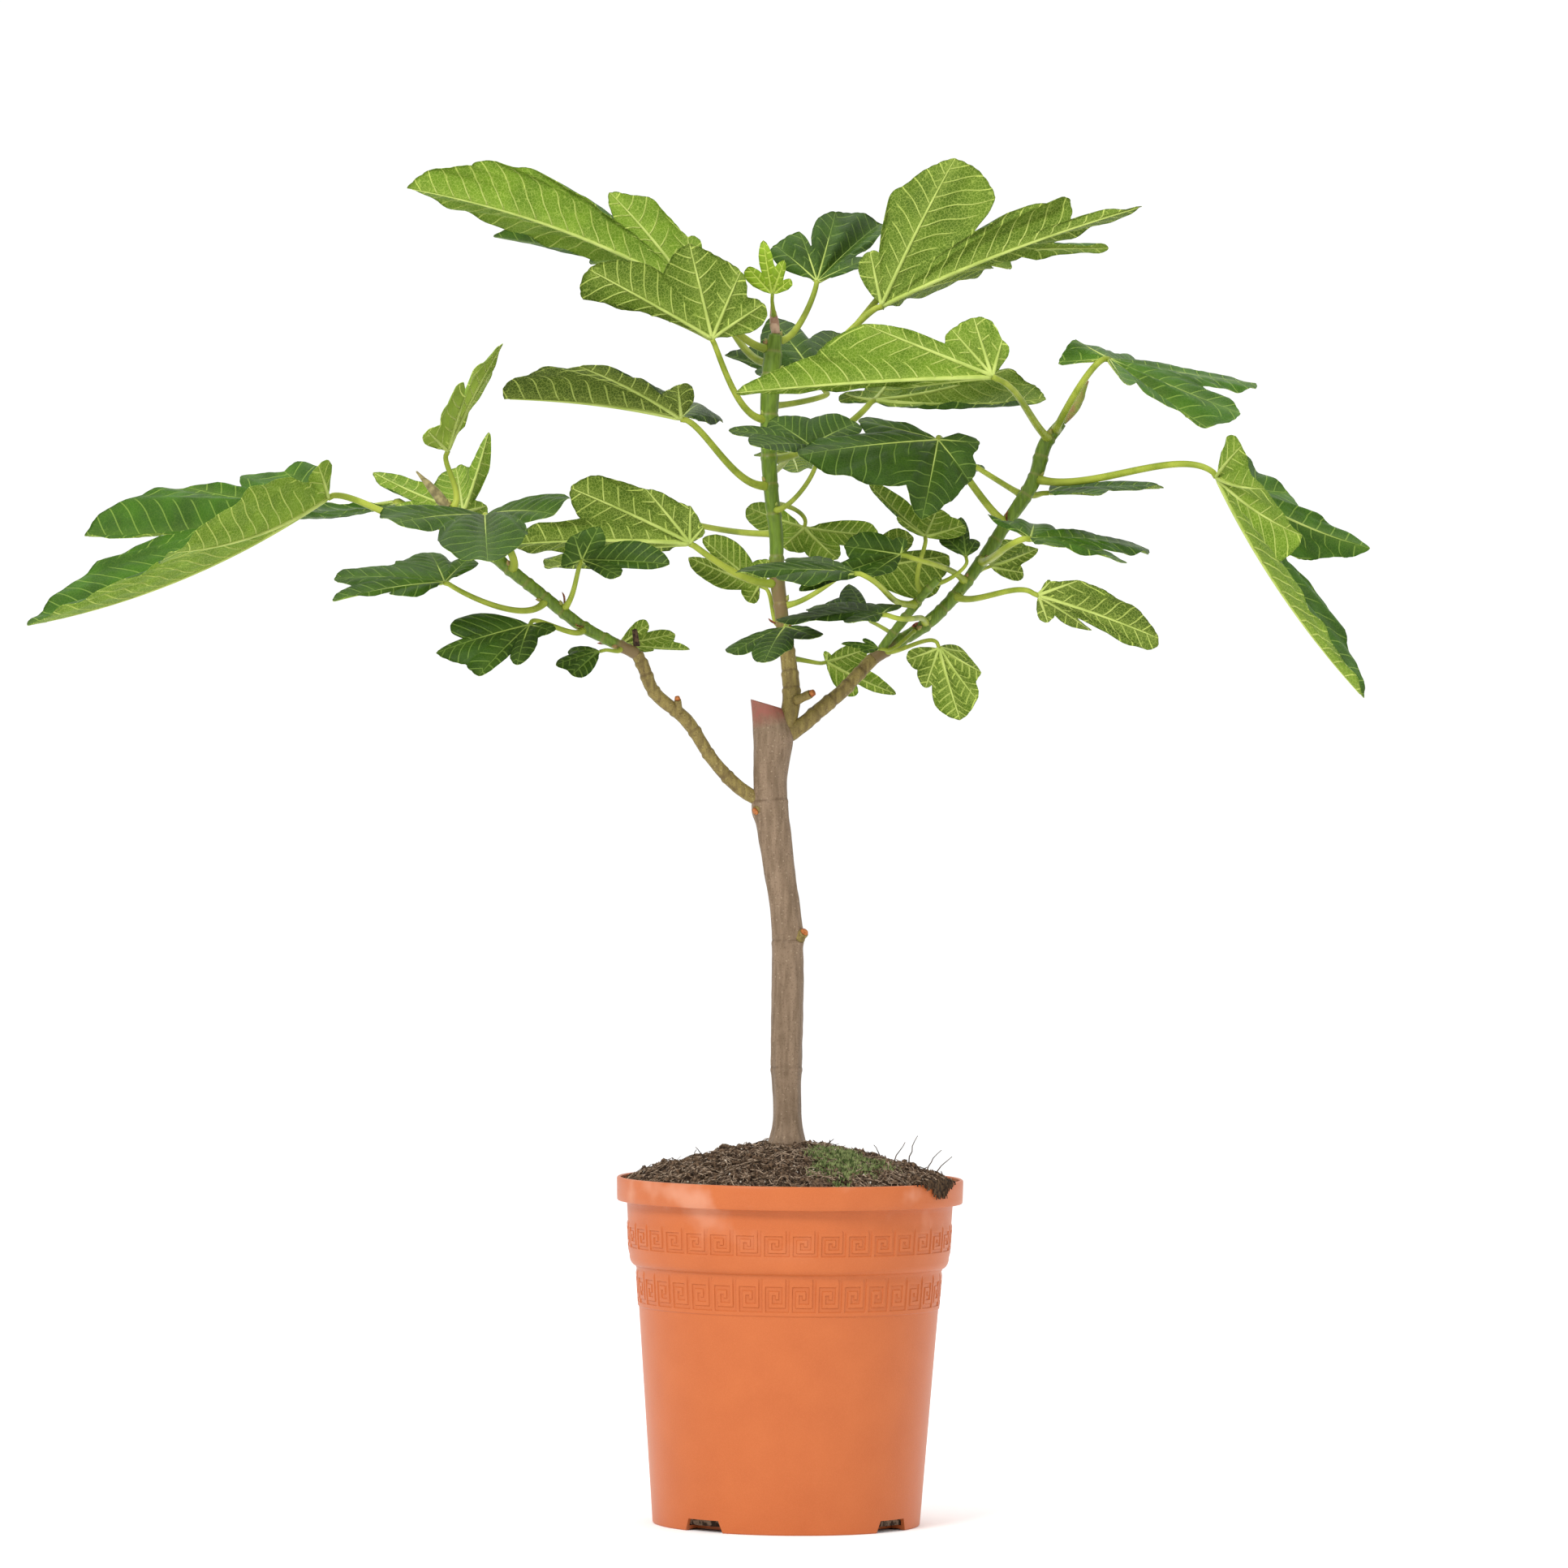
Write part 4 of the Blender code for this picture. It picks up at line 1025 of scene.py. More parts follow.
@dataclass(frozen=True)
class Studio:
    """Camera at the photograph's viewing angle, a pale floor and soft light from all round."""

    image_width: int = 1932
    pixel: float = 0.4918 * MM
    sensor: float = 36.0
    camera_side: float = -0.0065
    camera_back: float = 5.0
    camera_height: float = 0.475
    aim_height: float = 0.448
    roll: float = math.radians(0.67)
    floor_radius: float = 14.0
    floor_sides: int = 96
    paper_mottle: float = 0.9
    surround: float = 1.04
    lamps_aim: tuple[float, float, float] = (0.0, 0.0, 0.42)

    def build(self) -> None:
        """Sets up the camera, the floor, the surround and the lamps."""
        self.set_camera()
        self.lay_floor()
        self.light_surround()
        self.hang_lamp("key_lamp", (-1.5, -2.6, 2.6), 1.2, 78.0)
        self.hang_lamp("fill_lamp", (2.2, -2.4, 1.1), 1.8, 6.0)
        self.hang_lamp("top_lamp", (0.2, 0.6, 3.0), 2.0, 22.0)

    def set_camera(self) -> None:
        """Places the camera, tilted down a little and rolled as the photograph is."""
        drop = self.camera_height - self.aim_height
        tilt = math.atan2(drop, self.camera_back)
        ahead = Vector((0.0, math.cos(tilt), -math.sin(tilt)))
        above = Vector((0.0, math.sin(tilt), math.cos(tilt)))
        aside = Vector((1.0, 0.0, 0.0))
        right = math.cos(self.roll) * aside + math.sin(self.roll) * above
        upward = math.cos(self.roll) * above - math.sin(self.roll) * aside
        turn = Matrix((right, upward, -ahead)).transposed()
        data = bpy.data.cameras.new("camera")
        data.sensor_width = self.sensor
        focal_pixels = math.hypot(self.camera_back, drop) / self.pixel
        data.lens = focal_pixels / self.image_width * self.sensor
        camera = bpy.data.objects.new("camera", data)
        place = Matrix.Translation((self.camera_side, -self.camera_back, self.camera_height))
        camera.matrix_world = place @ turn.to_4x4()
        bpy.context.scene.collection.objects.link(camera)
        bpy.context.scene.camera = camera

    def lay_floor(self) -> None:
        """A matt white sheet under the pot."""
        floor = Piece("floor", self.white())
        turn = np.arange(self.floor_sides) * math.tau / self.floor_sides
        first = floor.add(round_axis(self.floor_radius, turn, 0.0), NO_FACES)
        floor.add_fan(floor.add_point((0, 0, 0)), first, self.floor_sides, False)
        floor.build()

    def white(self) -> bpy.types.Material:
        """Matt white paper with a barely uneven tone.

        Returns:
            The material.
        """
        f = Finish("studio_paper")
        f.base(roughness=0.9, specular=0.1)
        f.colour(f.mix(f.noise(self.paper_mottle, 2.0), "#fcfcfc", "#fefefe"))
        return f.material

    def light_surround(self) -> None:
        """An even white surround."""
        world = bpy.data.worlds.new("surround")
        world.use_nodes = True
        shader = world.node_tree.nodes["Background"]
        shader.inputs["Color"].default_value = (1.0, 1.0, 1.0, 1.0)
        shader.inputs["Strength"].default_value = self.surround
        bpy.context.scene.world = world
        bpy.context.scene.view_settings.view_transform = "Standard"

    def hang_lamp(self, name: str, place: tuple[float, float, float], width: float, power: float) -> None:
        """Hangs one square soft lamp that faces the plant.

        Args:
            name: The lamp's name.
            place: Where it hangs.
            width: Side of the square.
            power: Watts.
        """
        data = bpy.data.lights.new(name, "AREA")
        data.size = width
        data.energy = power
        lamp = bpy.data.objects.new(name, data)
        lamp.location = place
        aim = Vector(self.lamps_aim) - Vector(place)
        lamp.rotation_euler = aim.to_track_quat("-Z", "Y").to_euler()
        bpy.context.scene.collection.objects.link(lamp)


@dataclass(frozen=True)
class Pot:
    """The moulded pot: a turned shell with a collar, a shouldered band and two key friezes."""

    finish: bpy.types.Material
    height: float = 0.2095
    rim: float = 0.105
    collar_height: float = 0.0145
    band_top: float = 0.0988
    band_foot: float = 0.0968
    shoulder: float = 0.162
    shoulder_drop: float = 0.007
    wall_top: float = 0.0925
    foot: float = 0.081
    wall: float = 0.0022
    under: float = 0.0008
    floor: float = 0.003
    notches: int = 4
    notch_turn: float = math.radians(7)
    notch_width: float = 0.027
    notch_height: float = 0.0074
    notch_depth: float = 0.012
    sharp: float = math.radians(38)
    key_units: int = 36
    key_relief: float = 0.62 * MM
    key_edge: float = 0.09
    upper_frieze: tuple[float, float] = (0.1655, 0.1815)
    lower_frieze: tuple[float, float] = (0.1315, 0.1515)

    # One turn of the key, seen from outside: 1 stands out from the wall.
    KEY = (
        "1111111.",
        "1.....1.",
        "1.111.1.",
        "1.1.1.1.",
        "1.1...1.",
        "1.11111.",
        "1.......",
        "11111111",
    )

    def radius_at(self, height: float) -> float:
        """Finds the outer radius of the plain wall or the band.

        Args:
            height: Height above the ground.

        Returns:
            The radius.
        """
        if height < self.shoulder:
            return self.foot + (self.wall_top - self.foot) * height / (self.shoulder - self.shoulder_drop)
        share = (height - self.shoulder) / (self.height - self.collar_height - self.shoulder)
        return self.band_foot + (self.band_top - self.band_foot) * share

    def frieze(self, span: tuple[float, float]) -> list[tuple[float, float, int]]:
        """Rows of a frieze, from its foot up.

        Args:
            span: Heights of its foot and its top.

        Returns:
            Rows of (radius, height, row of the key).
        """
        low, high = span
        cell = (high - low) / len(self.KEY)
        rows = []
        for row in reversed(range(len(self.KEY))):
            for share in (1 - self.key_edge, self.key_edge):
                height = high - (row + share) * cell
                rows.append((self.radius_at(height), height, row))
        return rows

    def profile(self) -> list[tuple[float, float, int]]:
        """The shell's outline, underside first, then up the outside and down the inside.

        Returns:
            Rows of (radius, height, row of the key or -1 on a plain part).
        """
        foot_of_shoulder = self.shoulder - self.shoulder_drop
        collar = self.height - self.collar_height
        wall = [(0.02, self.under), (self.foot - 0.004, self.under), (self.foot - 0.003, 0.0)]
        wall += [(self.foot - 0.0006, 0.0), (self.foot, 0.0006)]
        wall += [(self.radius_at(z), z) for z in np.linspace(0.008, self.lower_frieze[0] - 0.0005, 14)]
        shoulder = [(self.radius_at(foot_of_shoulder - 0.0012), foot_of_shoulder - 0.0012)]
        lip = self.band_foot - self.wall_top
        for turn in np.radians((4, 20, 40, 60, 78)):
            reach = self.wall_top + lip * (0.1 + 0.9 * math.sin(turn))
            shoulder.append((reach, self.shoulder - (self.shoulder_drop - 0.0008) * math.cos(turn)))
        shoulder += [(self.band_foot + 0.00005, self.shoulder + 0.0006)]
        top = [(self.radius_at(z), z) for z in (0.183, 0.187, 0.191, collar - 0.0010)]
        top += [(self.band_top + 0.0004, collar - 0.0002), (self.rim - 0.0016, collar)]
        top += [(self.rim - 0.0007, collar + 0.0002), (self.rim - 0.0003, collar + 0.0008)]
        top += [(self.rim - 0.0002, collar + 0.004), (self.rim - 0.0001, collar + 0.009)]
        top += [(self.rim, self.height - 0.0012), (self.rim - 0.0003, self.height - 0.0004)]
        top += [(self.rim - 0.0009, self.height), (self.rim - self.wall + 0.0006, self.height)]
        inside = self.rim - self.wall
        top += [(inside, self.height - 0.0006), (inside, collar + 0.003)]
        top += [(self.band_top - self.wall, collar + 0.001), (self.band_foot - self.wall, self.shoulder)]
        top += [(self.wall_top - self.wall, foot_of_shoulder), (self.foot - self.wall, self.floor)]
        top += [(0.02, self.floor)]
        wall, shoulder, top = ([(*row, -1) for row in part] for part in (wall, shoulder, top))
        return wall + self.frieze(self.lower_frieze) + shoulder + self.frieze(self.upper_frieze) + top

    def build(self) -> None:
        """Builds the shell and cuts its drainage notches."""
        unit_turn = math.tau / self.key_units
        cells = len(self.KEY[0])
        turns, columns = [], []
        for k in range(self.key_units * cells):
            for share in (self.key_edge, 1 - self.key_edge):
                turns.append((k + share) * unit_turn / cells)
                columns.append(k % cells)
        turns = np.array(turns)
        rows = []
        for radius, height, row in self.profile():
            raised = np.zeros(len(turns))
            if row >= 0:
                raised = np.array([self.KEY[row][c] == "1" for c in columns]) * self.key_relief
            rows.append(round_axis(radius + raised, turns, height))
        count, width = len(rows), len(turns)
        piece = Piece("pot_shell", self.finish)
        piece.add(np.concatenate(rows), grid_faces(count, width, True))
        piece.add_fan(piece.add_point((0, 0, self.under)), 0, width, True)
        piece.add_fan(piece.add_point((0, 0, self.floor)), (count - 1) * width, width, False)
        thing = piece.place("pot", slot="terracotta_plastic")
        self.cut_notches(thing)

    def cut_notches(self, thing: bpy.types.Object) -> None:
        """Cuts four wedges out of the foot of the wall.

        Args:
            thing: The shell.
        """
        cutter = Piece("notch_cutter", self.finish)
        near, far = self.foot - self.notch_depth, self.foot + self.notch_depth
        for k in range(self.notches):
            turn = self.notch_turn + math.tau * (k + 0.5) / self.notches - math.pi / 2
            points = []
            for reach in (near, far):
                for height, half in ((-0.002, 0.55), (self.notch_height, 0.42)):
                    for side in (-half * self.notch_width, half * self.notch_width):
                        x = reach * math.cos(turn) - side * math.sin(turn)
                        y = reach * math.sin(turn) + side * math.cos(turn)
                        points.append((x, y, height))
            faces = [(0, 2, 3, 1), (4, 5, 7, 6), (0, 1, 5, 4), (2, 6, 7, 3), (0, 4, 6, 2), (1, 3, 7, 5)]
            cutter.add(np.array(points), faces)
        knife = cutter.build()
        modifier = thing.modifiers.new("notches", "BOOLEAN")
        modifier.operation = "DIFFERENCE"
        modifier.object = knife
        graph = bpy.context.evaluated_depsgraph_get()
        cut = bpy.data.meshes.new_from_object(thing.evaluated_get(graph))
        thing.modifiers.clear()
        thing.data = cut
        bpy.data.objects.remove(knife)
        cut.set_sharp_from_angle(angle=self.sharp)


@dataclass(frozen=True)
class Soil:
    """The mound of peat with its loose fibres, crumbs, grit, moss and dry stems."""

    finishes: Finishes
    edge: float = 0.1021
    edge_height: float = 0.2055
    mound: tuple[tuple[float, float], ...] = (
        (0.088, 0.2125), (0.066, 0.2185), (0.042, 0.2245), (0.017, 0.2290),
    )
    # The pot's inner wall as (radius, height), floor first.
    wall: tuple[tuple[float, float], ...] = (
        (0.0785, 0.0036), (0.0900, 0.1550), (0.0943, 0.1620), (0.0963, 0.1960), (0.1021, 0.1980),
    )
    fibres: int = 3600
    crumbs: int = 1500
    grains: int = 240
    moss_middle: tuple[float, float] = (0.032, -0.045)
    moss_reach: tuple[float, float] = (0.027, 0.042)
    tufts: int = 2600

    def surface(self, x: Array | float, y: Array | float) -> Array | float:
        """Height of the soil at places on the plan.

        Args:
            x: Places across.
            y: Places front to back.

        Returns:
            Heights in metres.
        """
        reach = np.hypot(x, y)
        radii = [0.0] + [r for r, _ in reversed(self.mound)] + [self.edge]
        heights = [self.mound[-1][1]] + [h for _, h in reversed(self.mound)] + [self.edge_height]
        place = np.stack([x, y, x * 0], -1)
        calm = np.clip((self.edge - reach) / 0.012, 0.25, 1.0)
        lumps = 1.5 * Ripple(3, 26 * MM)(place) + 0.8 * Ripple(4, 9 * MM)(place)
        return np.interp(reach, radii, heights) + (lumps * calm - 0.6) * MM

    def build(self) -> None:
        """Builds the bed and everything that lies on it."""
        self.build_bed()
        self.strew_fibres()
        self.strew_crumbs()
        self.grow_moss()
        self.stick_stems()

    def build_bed(self) -> None:
        """The closed bed of peat down to the pot's floor."""
        columns, rows = 240, 72
        turn = np.arange(columns) * math.tau / columns
        reach = np.linspace(self.edge, 0.0008, rows)[:, None]
        x, y = reach * np.cos(turn), reach * np.sin(turn)
        fine = Ripple(5, 4 * MM)(np.stack([x, y, x * 0], -1)) * 0.55 * MM
        piece = Piece("soil_bed", self.finishes.peat)
        piece.add(np.stack([x, y, self.surface(x, y) + fine], -1), grid_faces(rows, columns, True))
        middle = piece.add_point((0, 0, self.mound[-1][1]))
        piece.add_fan(middle, (rows - 1) * columns, columns, False)
        rings = [round_axis(radius, turn, height) for radius, height in self.wall]
        foot = piece.add(np.concatenate(rings), grid_faces(len(rings), columns, True))
        rim = foot + columns * (len(rings) - 1)
        k = np.arange(columns)
        after = (k + 1) % columns
        piece.add_faces(np.stack([rim + k, rim + after, after, k], 1), 0)
        piece.add_fan(piece.add_point((0, 0, self.wall[0][1])), foot, columns, True)
        piece.place("soil", slot="potting_soil")

    def strew_fibres(self) -> None:
        """Loose root and peat fibres, lying every way over the mound and over the rim."""
        rng = np.random.default_rng(11)
        pale = Piece("peat_fibres", self.finishes.fibre, self.finishes.stem)
        for _ in range(self.fibres):
            reach, turn = self.edge * 0.985 * math.sqrt(rng.uniform()), rng.uniform(0, math.tau)
            middle = np.array([reach * math.cos(turn), reach * math.sin(turn)])
            heading = rng.uniform(0, math.tau)
            length = rng.uniform(5, 17) * MM
            bend = rng.normal(0, 0.8)
            steps = np.linspace(-0.5, 0.5, 5)
            angle = heading + bend * steps
            flat = middle + np.cumsum(np.stack([np.cos(angle), np.sin(angle)], 1), 0) * length / 5
            span = np.linalg.norm(flat, axis=1)
            flat *= np.minimum(1.0, self.edge * 0.99 / np.maximum(span, 1e-9))[:, None]
            lift = rng.uniform(0.4, 2.2) * MM + rng.normal(0, 1.8 * MM) * steps
            z = self.surface(flat[:, 0], flat[:, 1]) + lift
            radius = rng.uniform(0.18, 0.48) * MM
            line = np.column_stack([flat, z])
            add_tube(pale, line, radius * np.array([0.6, 1.0, 1.0, 0.9, 0.4]), 3, int(rng.uniform() < 0.35))
        self.spill_over_rim(pale, rng)
        pale.place(slot="potting_soil")

    def spill_over_rim(self, piece: Piece, rng: np.random.Generator) -> None:
        """Fibres that hang over the collar at the right.

        Args:
            piece: The fibres' piece.
            rng: The random draws.
        """
        for _ in range(150):
            turn = math.radians(rng.normal(-31, 4.5))
            drop = rng.uniform(0.5, 9.0) * MM * math.exp(-(((math.degrees(turn) + 31) / 7) ** 2))
            reach = np.array([0.0985, 0.1020, 0.1045, 0.1062, 0.1060])
            height = np.array([0.2085, 0.2108, 0.2112, 0.2095, 0.2095 - drop])
            spin = turn + rng.normal(0, 0.02) * np.linspace(-1, 1, 5)
            height = height + rng.normal(0, 0.6 * MM, 5)
            line = round_axis(reach, spin, height)
            add_tube(piece, line, np.full(5, rng.uniform(0.25, 0.6) * MM), 3, 1)

    def strew_crumbs(self) -> None:
        """Crumbs of bark, and pale grit."""
        rng = np.random.default_rng(12)
        piece = Piece("soil_crumbs", self.finishes.crumb, self.finishes.grit)
        for k in range(self.crumbs + self.grains):
            grit = k >= self.crumbs
            reach, turn = self.edge * 0.97 * math.sqrt(rng.uniform()), rng.uniform(0, math.tau)
            x, y = reach * math.cos(turn), reach * math.sin(turn)
            size = rng.uniform(0.4, 0.9) * MM if grit else rng.uniform(0.7, 2.2) * MM
            z = self.surface(x, y) + size * (0.7 if grit else 0.35)
            add_lump(piece, (x, y, z), size * rng.uniform(0.6, 1.3, 3), rng, int(grit))
        piece.place(slot="potting_soil")

    def grow_moss(self) -> None:
        """A cushion of moss between the trunk and the rim."""
        rng = np.random.default_rng(13)
        piece = Piece("moss_cushion", self.finishes.moss)
        middle, spread = np.array(self.moss_middle), np.array(self.moss_reach)
        for _ in range(self.tufts):
            turn, reach = rng.uniform(0, math.tau), math.sqrt(rng.uniform())
            edge = 0.9 + 0.22 * math.sin(3 * turn + 1) + 0.16 * math.sin(7 * turn) + rng.normal(0, 0.07)
            x, y = middle + spread * edge * reach * np.array([math.cos(turn), math.sin(turn)])
            if math.hypot(x, y) > self.edge * 0.96:
                continue
            swell = 2.2 * MM * (1 - reach**2)
            z = self.surface(x, y) + swell
            lean = rng.normal(0, 0.5, 2)
            height = rng.uniform(1.4, 3.2) * MM
            tip = np.array([x, y, z]) + unit(np.array([*lean, 1.0])) * height
            spin = rng.uniform(0, math.tau) + np.arange(3) * math.tau / 3
            wide = rng.uniform(0.5, 1.1) * MM
            base = np.stack([x + wide * np.cos(spin), y + wide * np.sin(spin), spin * 0 + z - 1.2 * MM], 1)
            piece.add(np.concatenate([base, [tip]]), [(0, 1, 3), (1, 2, 3), (2, 0, 3), (2, 1, 0)])
        piece.place(slot="potting_soil")

    def stick_stems(self) -> None:
        """Thin dead stems that stand out of the soil."""
        rng = np.random.default_rng(14)
        piece = Piece("dry_stems", self.finishes.stem)
        for x, y, rise, lean in (
            (0.062, -0.030, 0.016, 0.007), (0.071, -0.020, 0.019, 0.005), (0.082, -0.010, 0.015, 0.009),
            (0.055, 0.010, 0.010, -0.004), (-0.052, -0.030, 0.008, -0.005), (-0.060, -0.02, 0.009, 0.003),
            (0.088, 0.005, 0.012, 0.010), (0.020, -0.012, 0.008, 0.006), (-0.030, -0.045, 0.007, -0.004),
        ):
            foot = self.surface(x, y)
            t = np.linspace(0, 1, 7)
            line = np.stack([x + lean * t**1.5 + rng.normal(0, 0.25 * MM, 7), y + t * 0, foot + rise * t], 1)
            add_tube(piece, line, np.linspace(0.45, 0.2, 7) * MM, 5)
        piece.place(slot="potting_soil")


def add_lump(
    piece: Piece, middle: Sequence[float], radii: Array, rng: np.random.Generator, slot: int
) -> None:
    """Adds a small uneven closed lump.

    Args:
        piece: The piece to add to.
        middle: Its middle.
        radii: Its reach along each axis.
        rng: The random draws.
        slot: The material slot.
    """
    turns, rings, rough = 6, 3, 0.25
    lift = np.linspace(-math.pi / 2, math.pi / 2, rings + 2)[1:-1, None]
    turn = np.arange(turns) * math.tau / turns
    ball = np.stack([np.cos(lift) * np.cos(turn), np.cos(lift) * np.sin(turn), np.sin(lift) + turn * 0], -1)
    ball = np.concatenate([ball.reshape(-1, 3), [[0, 0, -1.0], [0, 0, 1.0]]])
    ball *= 1 + rng.normal(0, rough, (len(ball), 1)).clip(-0.5, 0.5)
    first = piece.add(np.array(middle) + ball * radii, grid_faces(rings, turns, True), slot)
    low = first + rings * turns
    piece.add_fan(low, first, turns, True, slot)
    piece.add_fan(low + 1, low - turns, turns, False, slot)


@dataclass
class Limb:
    """One limb of the plant, with its rings, streaks and taper."""

    name: str
    knots: tuple
    finishes: tuple
    slot: str
    rings: tuple = ()
    sides: int = 28
    step: float = 0.9 * MM
    ring_swell: float = 0.45 * MM
    relief: float = 0.16 * MM
    flutes: float = 0.0
    brown_foot: float = 0.0
    cut: tuple | None = None
    knobs: tuple = ()
    seed: int = 1

    def build(self) -> bpy.types.Object:
        """Builds the limb in place of its node.

        Returns:
            The limb's object.
        """
        rows = smooth_line(self.knots, self.step)
        line, radii = rows[:, :3], rows[:, 3]
        run = run_along(line)
        frames = frames_on(line)
        turn = np.arange(self.sides) * math.tau / self.sides
        ring = frames.outward(turn)
        swell, dark = np.zeros(len(run)), np.zeros(len(run))
        for at in np.interp(self.rings, np.maximum.accumulate(line[:, 2]), run):
            swell += self.ring_swell * np.exp(-(((run - at) / (1.5 * MM)) ** 2))
            swell -= self.ring_swell * 0.6 * np.exp(-(((run - at - 2.2 * MM) / (0.8 * MM)) ** 2))
            dark += 0.75 * np.exp(-(((run - at - 1.9 * MM) / (0.7 * MM)) ** 2))
        surface = line + ring * radii[:, None]
        bark = Ripple(self.seed, 7 * MM)(surface * (1, 1, 0.22)) * self.relief
        bark += Ripple(self.seed + 50, 2.4 * MM)(surface * (1, 1, 0.3)) * self.relief * 0.4
        bark += self.flutes * np.sin(turn * 5 + 1.3)[:, None] * np.cos(run / (60 * MM))
        for x, y, z, spread, height in self.knobs:
            away = np.linalg.norm(surface - (x, y, z), axis=-1) / (spread * MM)
            bark = bark + height * MM * np.exp(-(away**2))
        points = line + ring * (radii + swell + bark)[..., None]
        if self.cut is not None:
            normal = unit(np.array(self.cut))
            offset = points - line
            slide = -(offset @ normal) / (frames.along @ normal)
            weight = np.clip((run - run[-1] + 12 * MM) / (12 * MM), 0, 1) ** 2
            points = points + (slide * weight)[..., None] * frames.along
        grid = points.transpose(1, 0, 2).reshape(-1, 3)
        piece = Piece(self.name + "_wood", *self.finishes)
        fresh = np.clip((run - run[-1]) / (9 * MM) + 1.6, 0, 1) * (self.cut is not None)
        aged = np.clip((self.brown_foot - run) / (0.35 * self.brown_foot + 1e-9) + 1, 0, 1)
        if not self.brown_foot:
            aged = run * 0
        along = {"ring": dark.clip(0, 1), "aged": aged, "fresh": fresh}
        marks = {name: np.repeat(values, self.sides) for name, values in along.items()}
        piece.add(grid, grid_faces(len(line), self.sides, True), 0, **marks)
        self.close(piece, line, grid)
        return piece.place(self.name, slot=self.slot)

    def close(self, piece: Piece, line: Array, grid: Array) -> None:
        """Closes both ends; a cut end shows pale wood inside a rim of bark.

        Args:
            piece: The limb's piece.
            line: The limb's middle.
            grid: Its skin, foot first.
        """
        piece.add_fan(piece.add_point(line[0]), 0, self.sides, True)
        k = np.arange(self.sides)
        after = (k + 1) % self.sides
        start = len(grid) - self.sides
        edge = grid[start:]
        middle = edge.mean(0)
        wood = 0 if self.cut is None else 1
        for share, drop in ((0.84, 0.1), (0.8, -0.35), (0.4, -0.6)):
            sink = drop * MM if wood else (1 - share) * self.knots[-1][3] * 0.5
            ring = middle + (edge - middle) * share + (0, 0, sink)
            first = piece.add(ring, NO_FACES)
            faces = np.stack([start + k, start + after, first + after, first + k], 1)
            piece.add_faces(faces, wood if share < 0.84 else 0)
            start = first
        lift = -0.6 * MM if wood else self.knots[-1][3] * 0.5
        tip = piece.add_point(middle + (0, 0, lift))
        piece.add_fan(tip, start, self.sides, False, wood)


@dataclass(frozen=True)
class Bud:
    """A pointed bud wrapped in its scales."""

    name: str
    knots: tuple
    finish: bpy.types.Material
    sides: int = 20

    def build(self) -> None:
        """Builds the bud in place of its node."""
        rows = smooth_line(self.knots, 0.45 * MM)
        line, radii = rows[:, :3], rows[:, 3]
        share = np.linspace(0, 1, len(line))
        radii = radii * (0.82 + 0.3 * np.sin(share * math.pi) ** 0.8)
        frames = frames_on(line)
        turn = np.arange(self.sides) * math.tau / self.sides
        ring = frames.outward(turn)
        wrap = np.cos(turn[:, None] - share * 7.0)
        seam = 1 + 0.10 * np.exp(-(((wrap - 1) / 0.06) ** 2)) - 0.05 * np.exp(-(((wrap - 0.8) / 0.08) ** 2))
        points = line + ring * (radii * seam)[..., None]
        piece = Piece(self.name + "_scales", self.finish)
        grid = points.transpose(1, 0, 2).reshape(-1, 3)
        piece.add(grid, grid_faces(len(line), self.sides, True))
        piece.add_fan(piece.add_point(line[0]), 0, self.sides, True)
        tip = piece.add_point(line[-1] + frames.along[-1] * 0.5 * MM)
        piece.add_fan(tip, len(grid) - self.sides, self.sides, False)
        piece.place(self.name, slot="bud_scale")


def limb_at(knots: Sequence[Sequence[float]], height: float) -> tuple[Array, float, Array]:
    """Finds a limb's middle, radius and direction where it passes a height.

    Args:
        knots: The limb's bends.
        height: Height in metres.

    Returns:
        Its middle, radius and direction there.
    """
    rows = np.array(knots)
    k = min(int(np.searchsorted(rows[1:, 2], height)), len(rows) - 2)
    low, high = rows[k], rows[k + 1]
    t = min(max((height - low[2]) / (high[2] - low[2]), 0.0), 1.0)
    place = low + (high - low) * t
    return place[:3], float(place[3]), unit(high[:3] - low[:3])


class Edge(NamedTuple):
    """A blade's margin from left to right: one column of the blade per row."""

    ways: Array
    reach: Array
    normals: Array
    angles: Array
    lobes: list[int]


class Sheet(NamedTuple):
    """A blade's middle surface as a grid of rings by columns, with what its skin reads."""

    points: Array
    normals: Array
    share: Array
    marks: dict[str, Array]


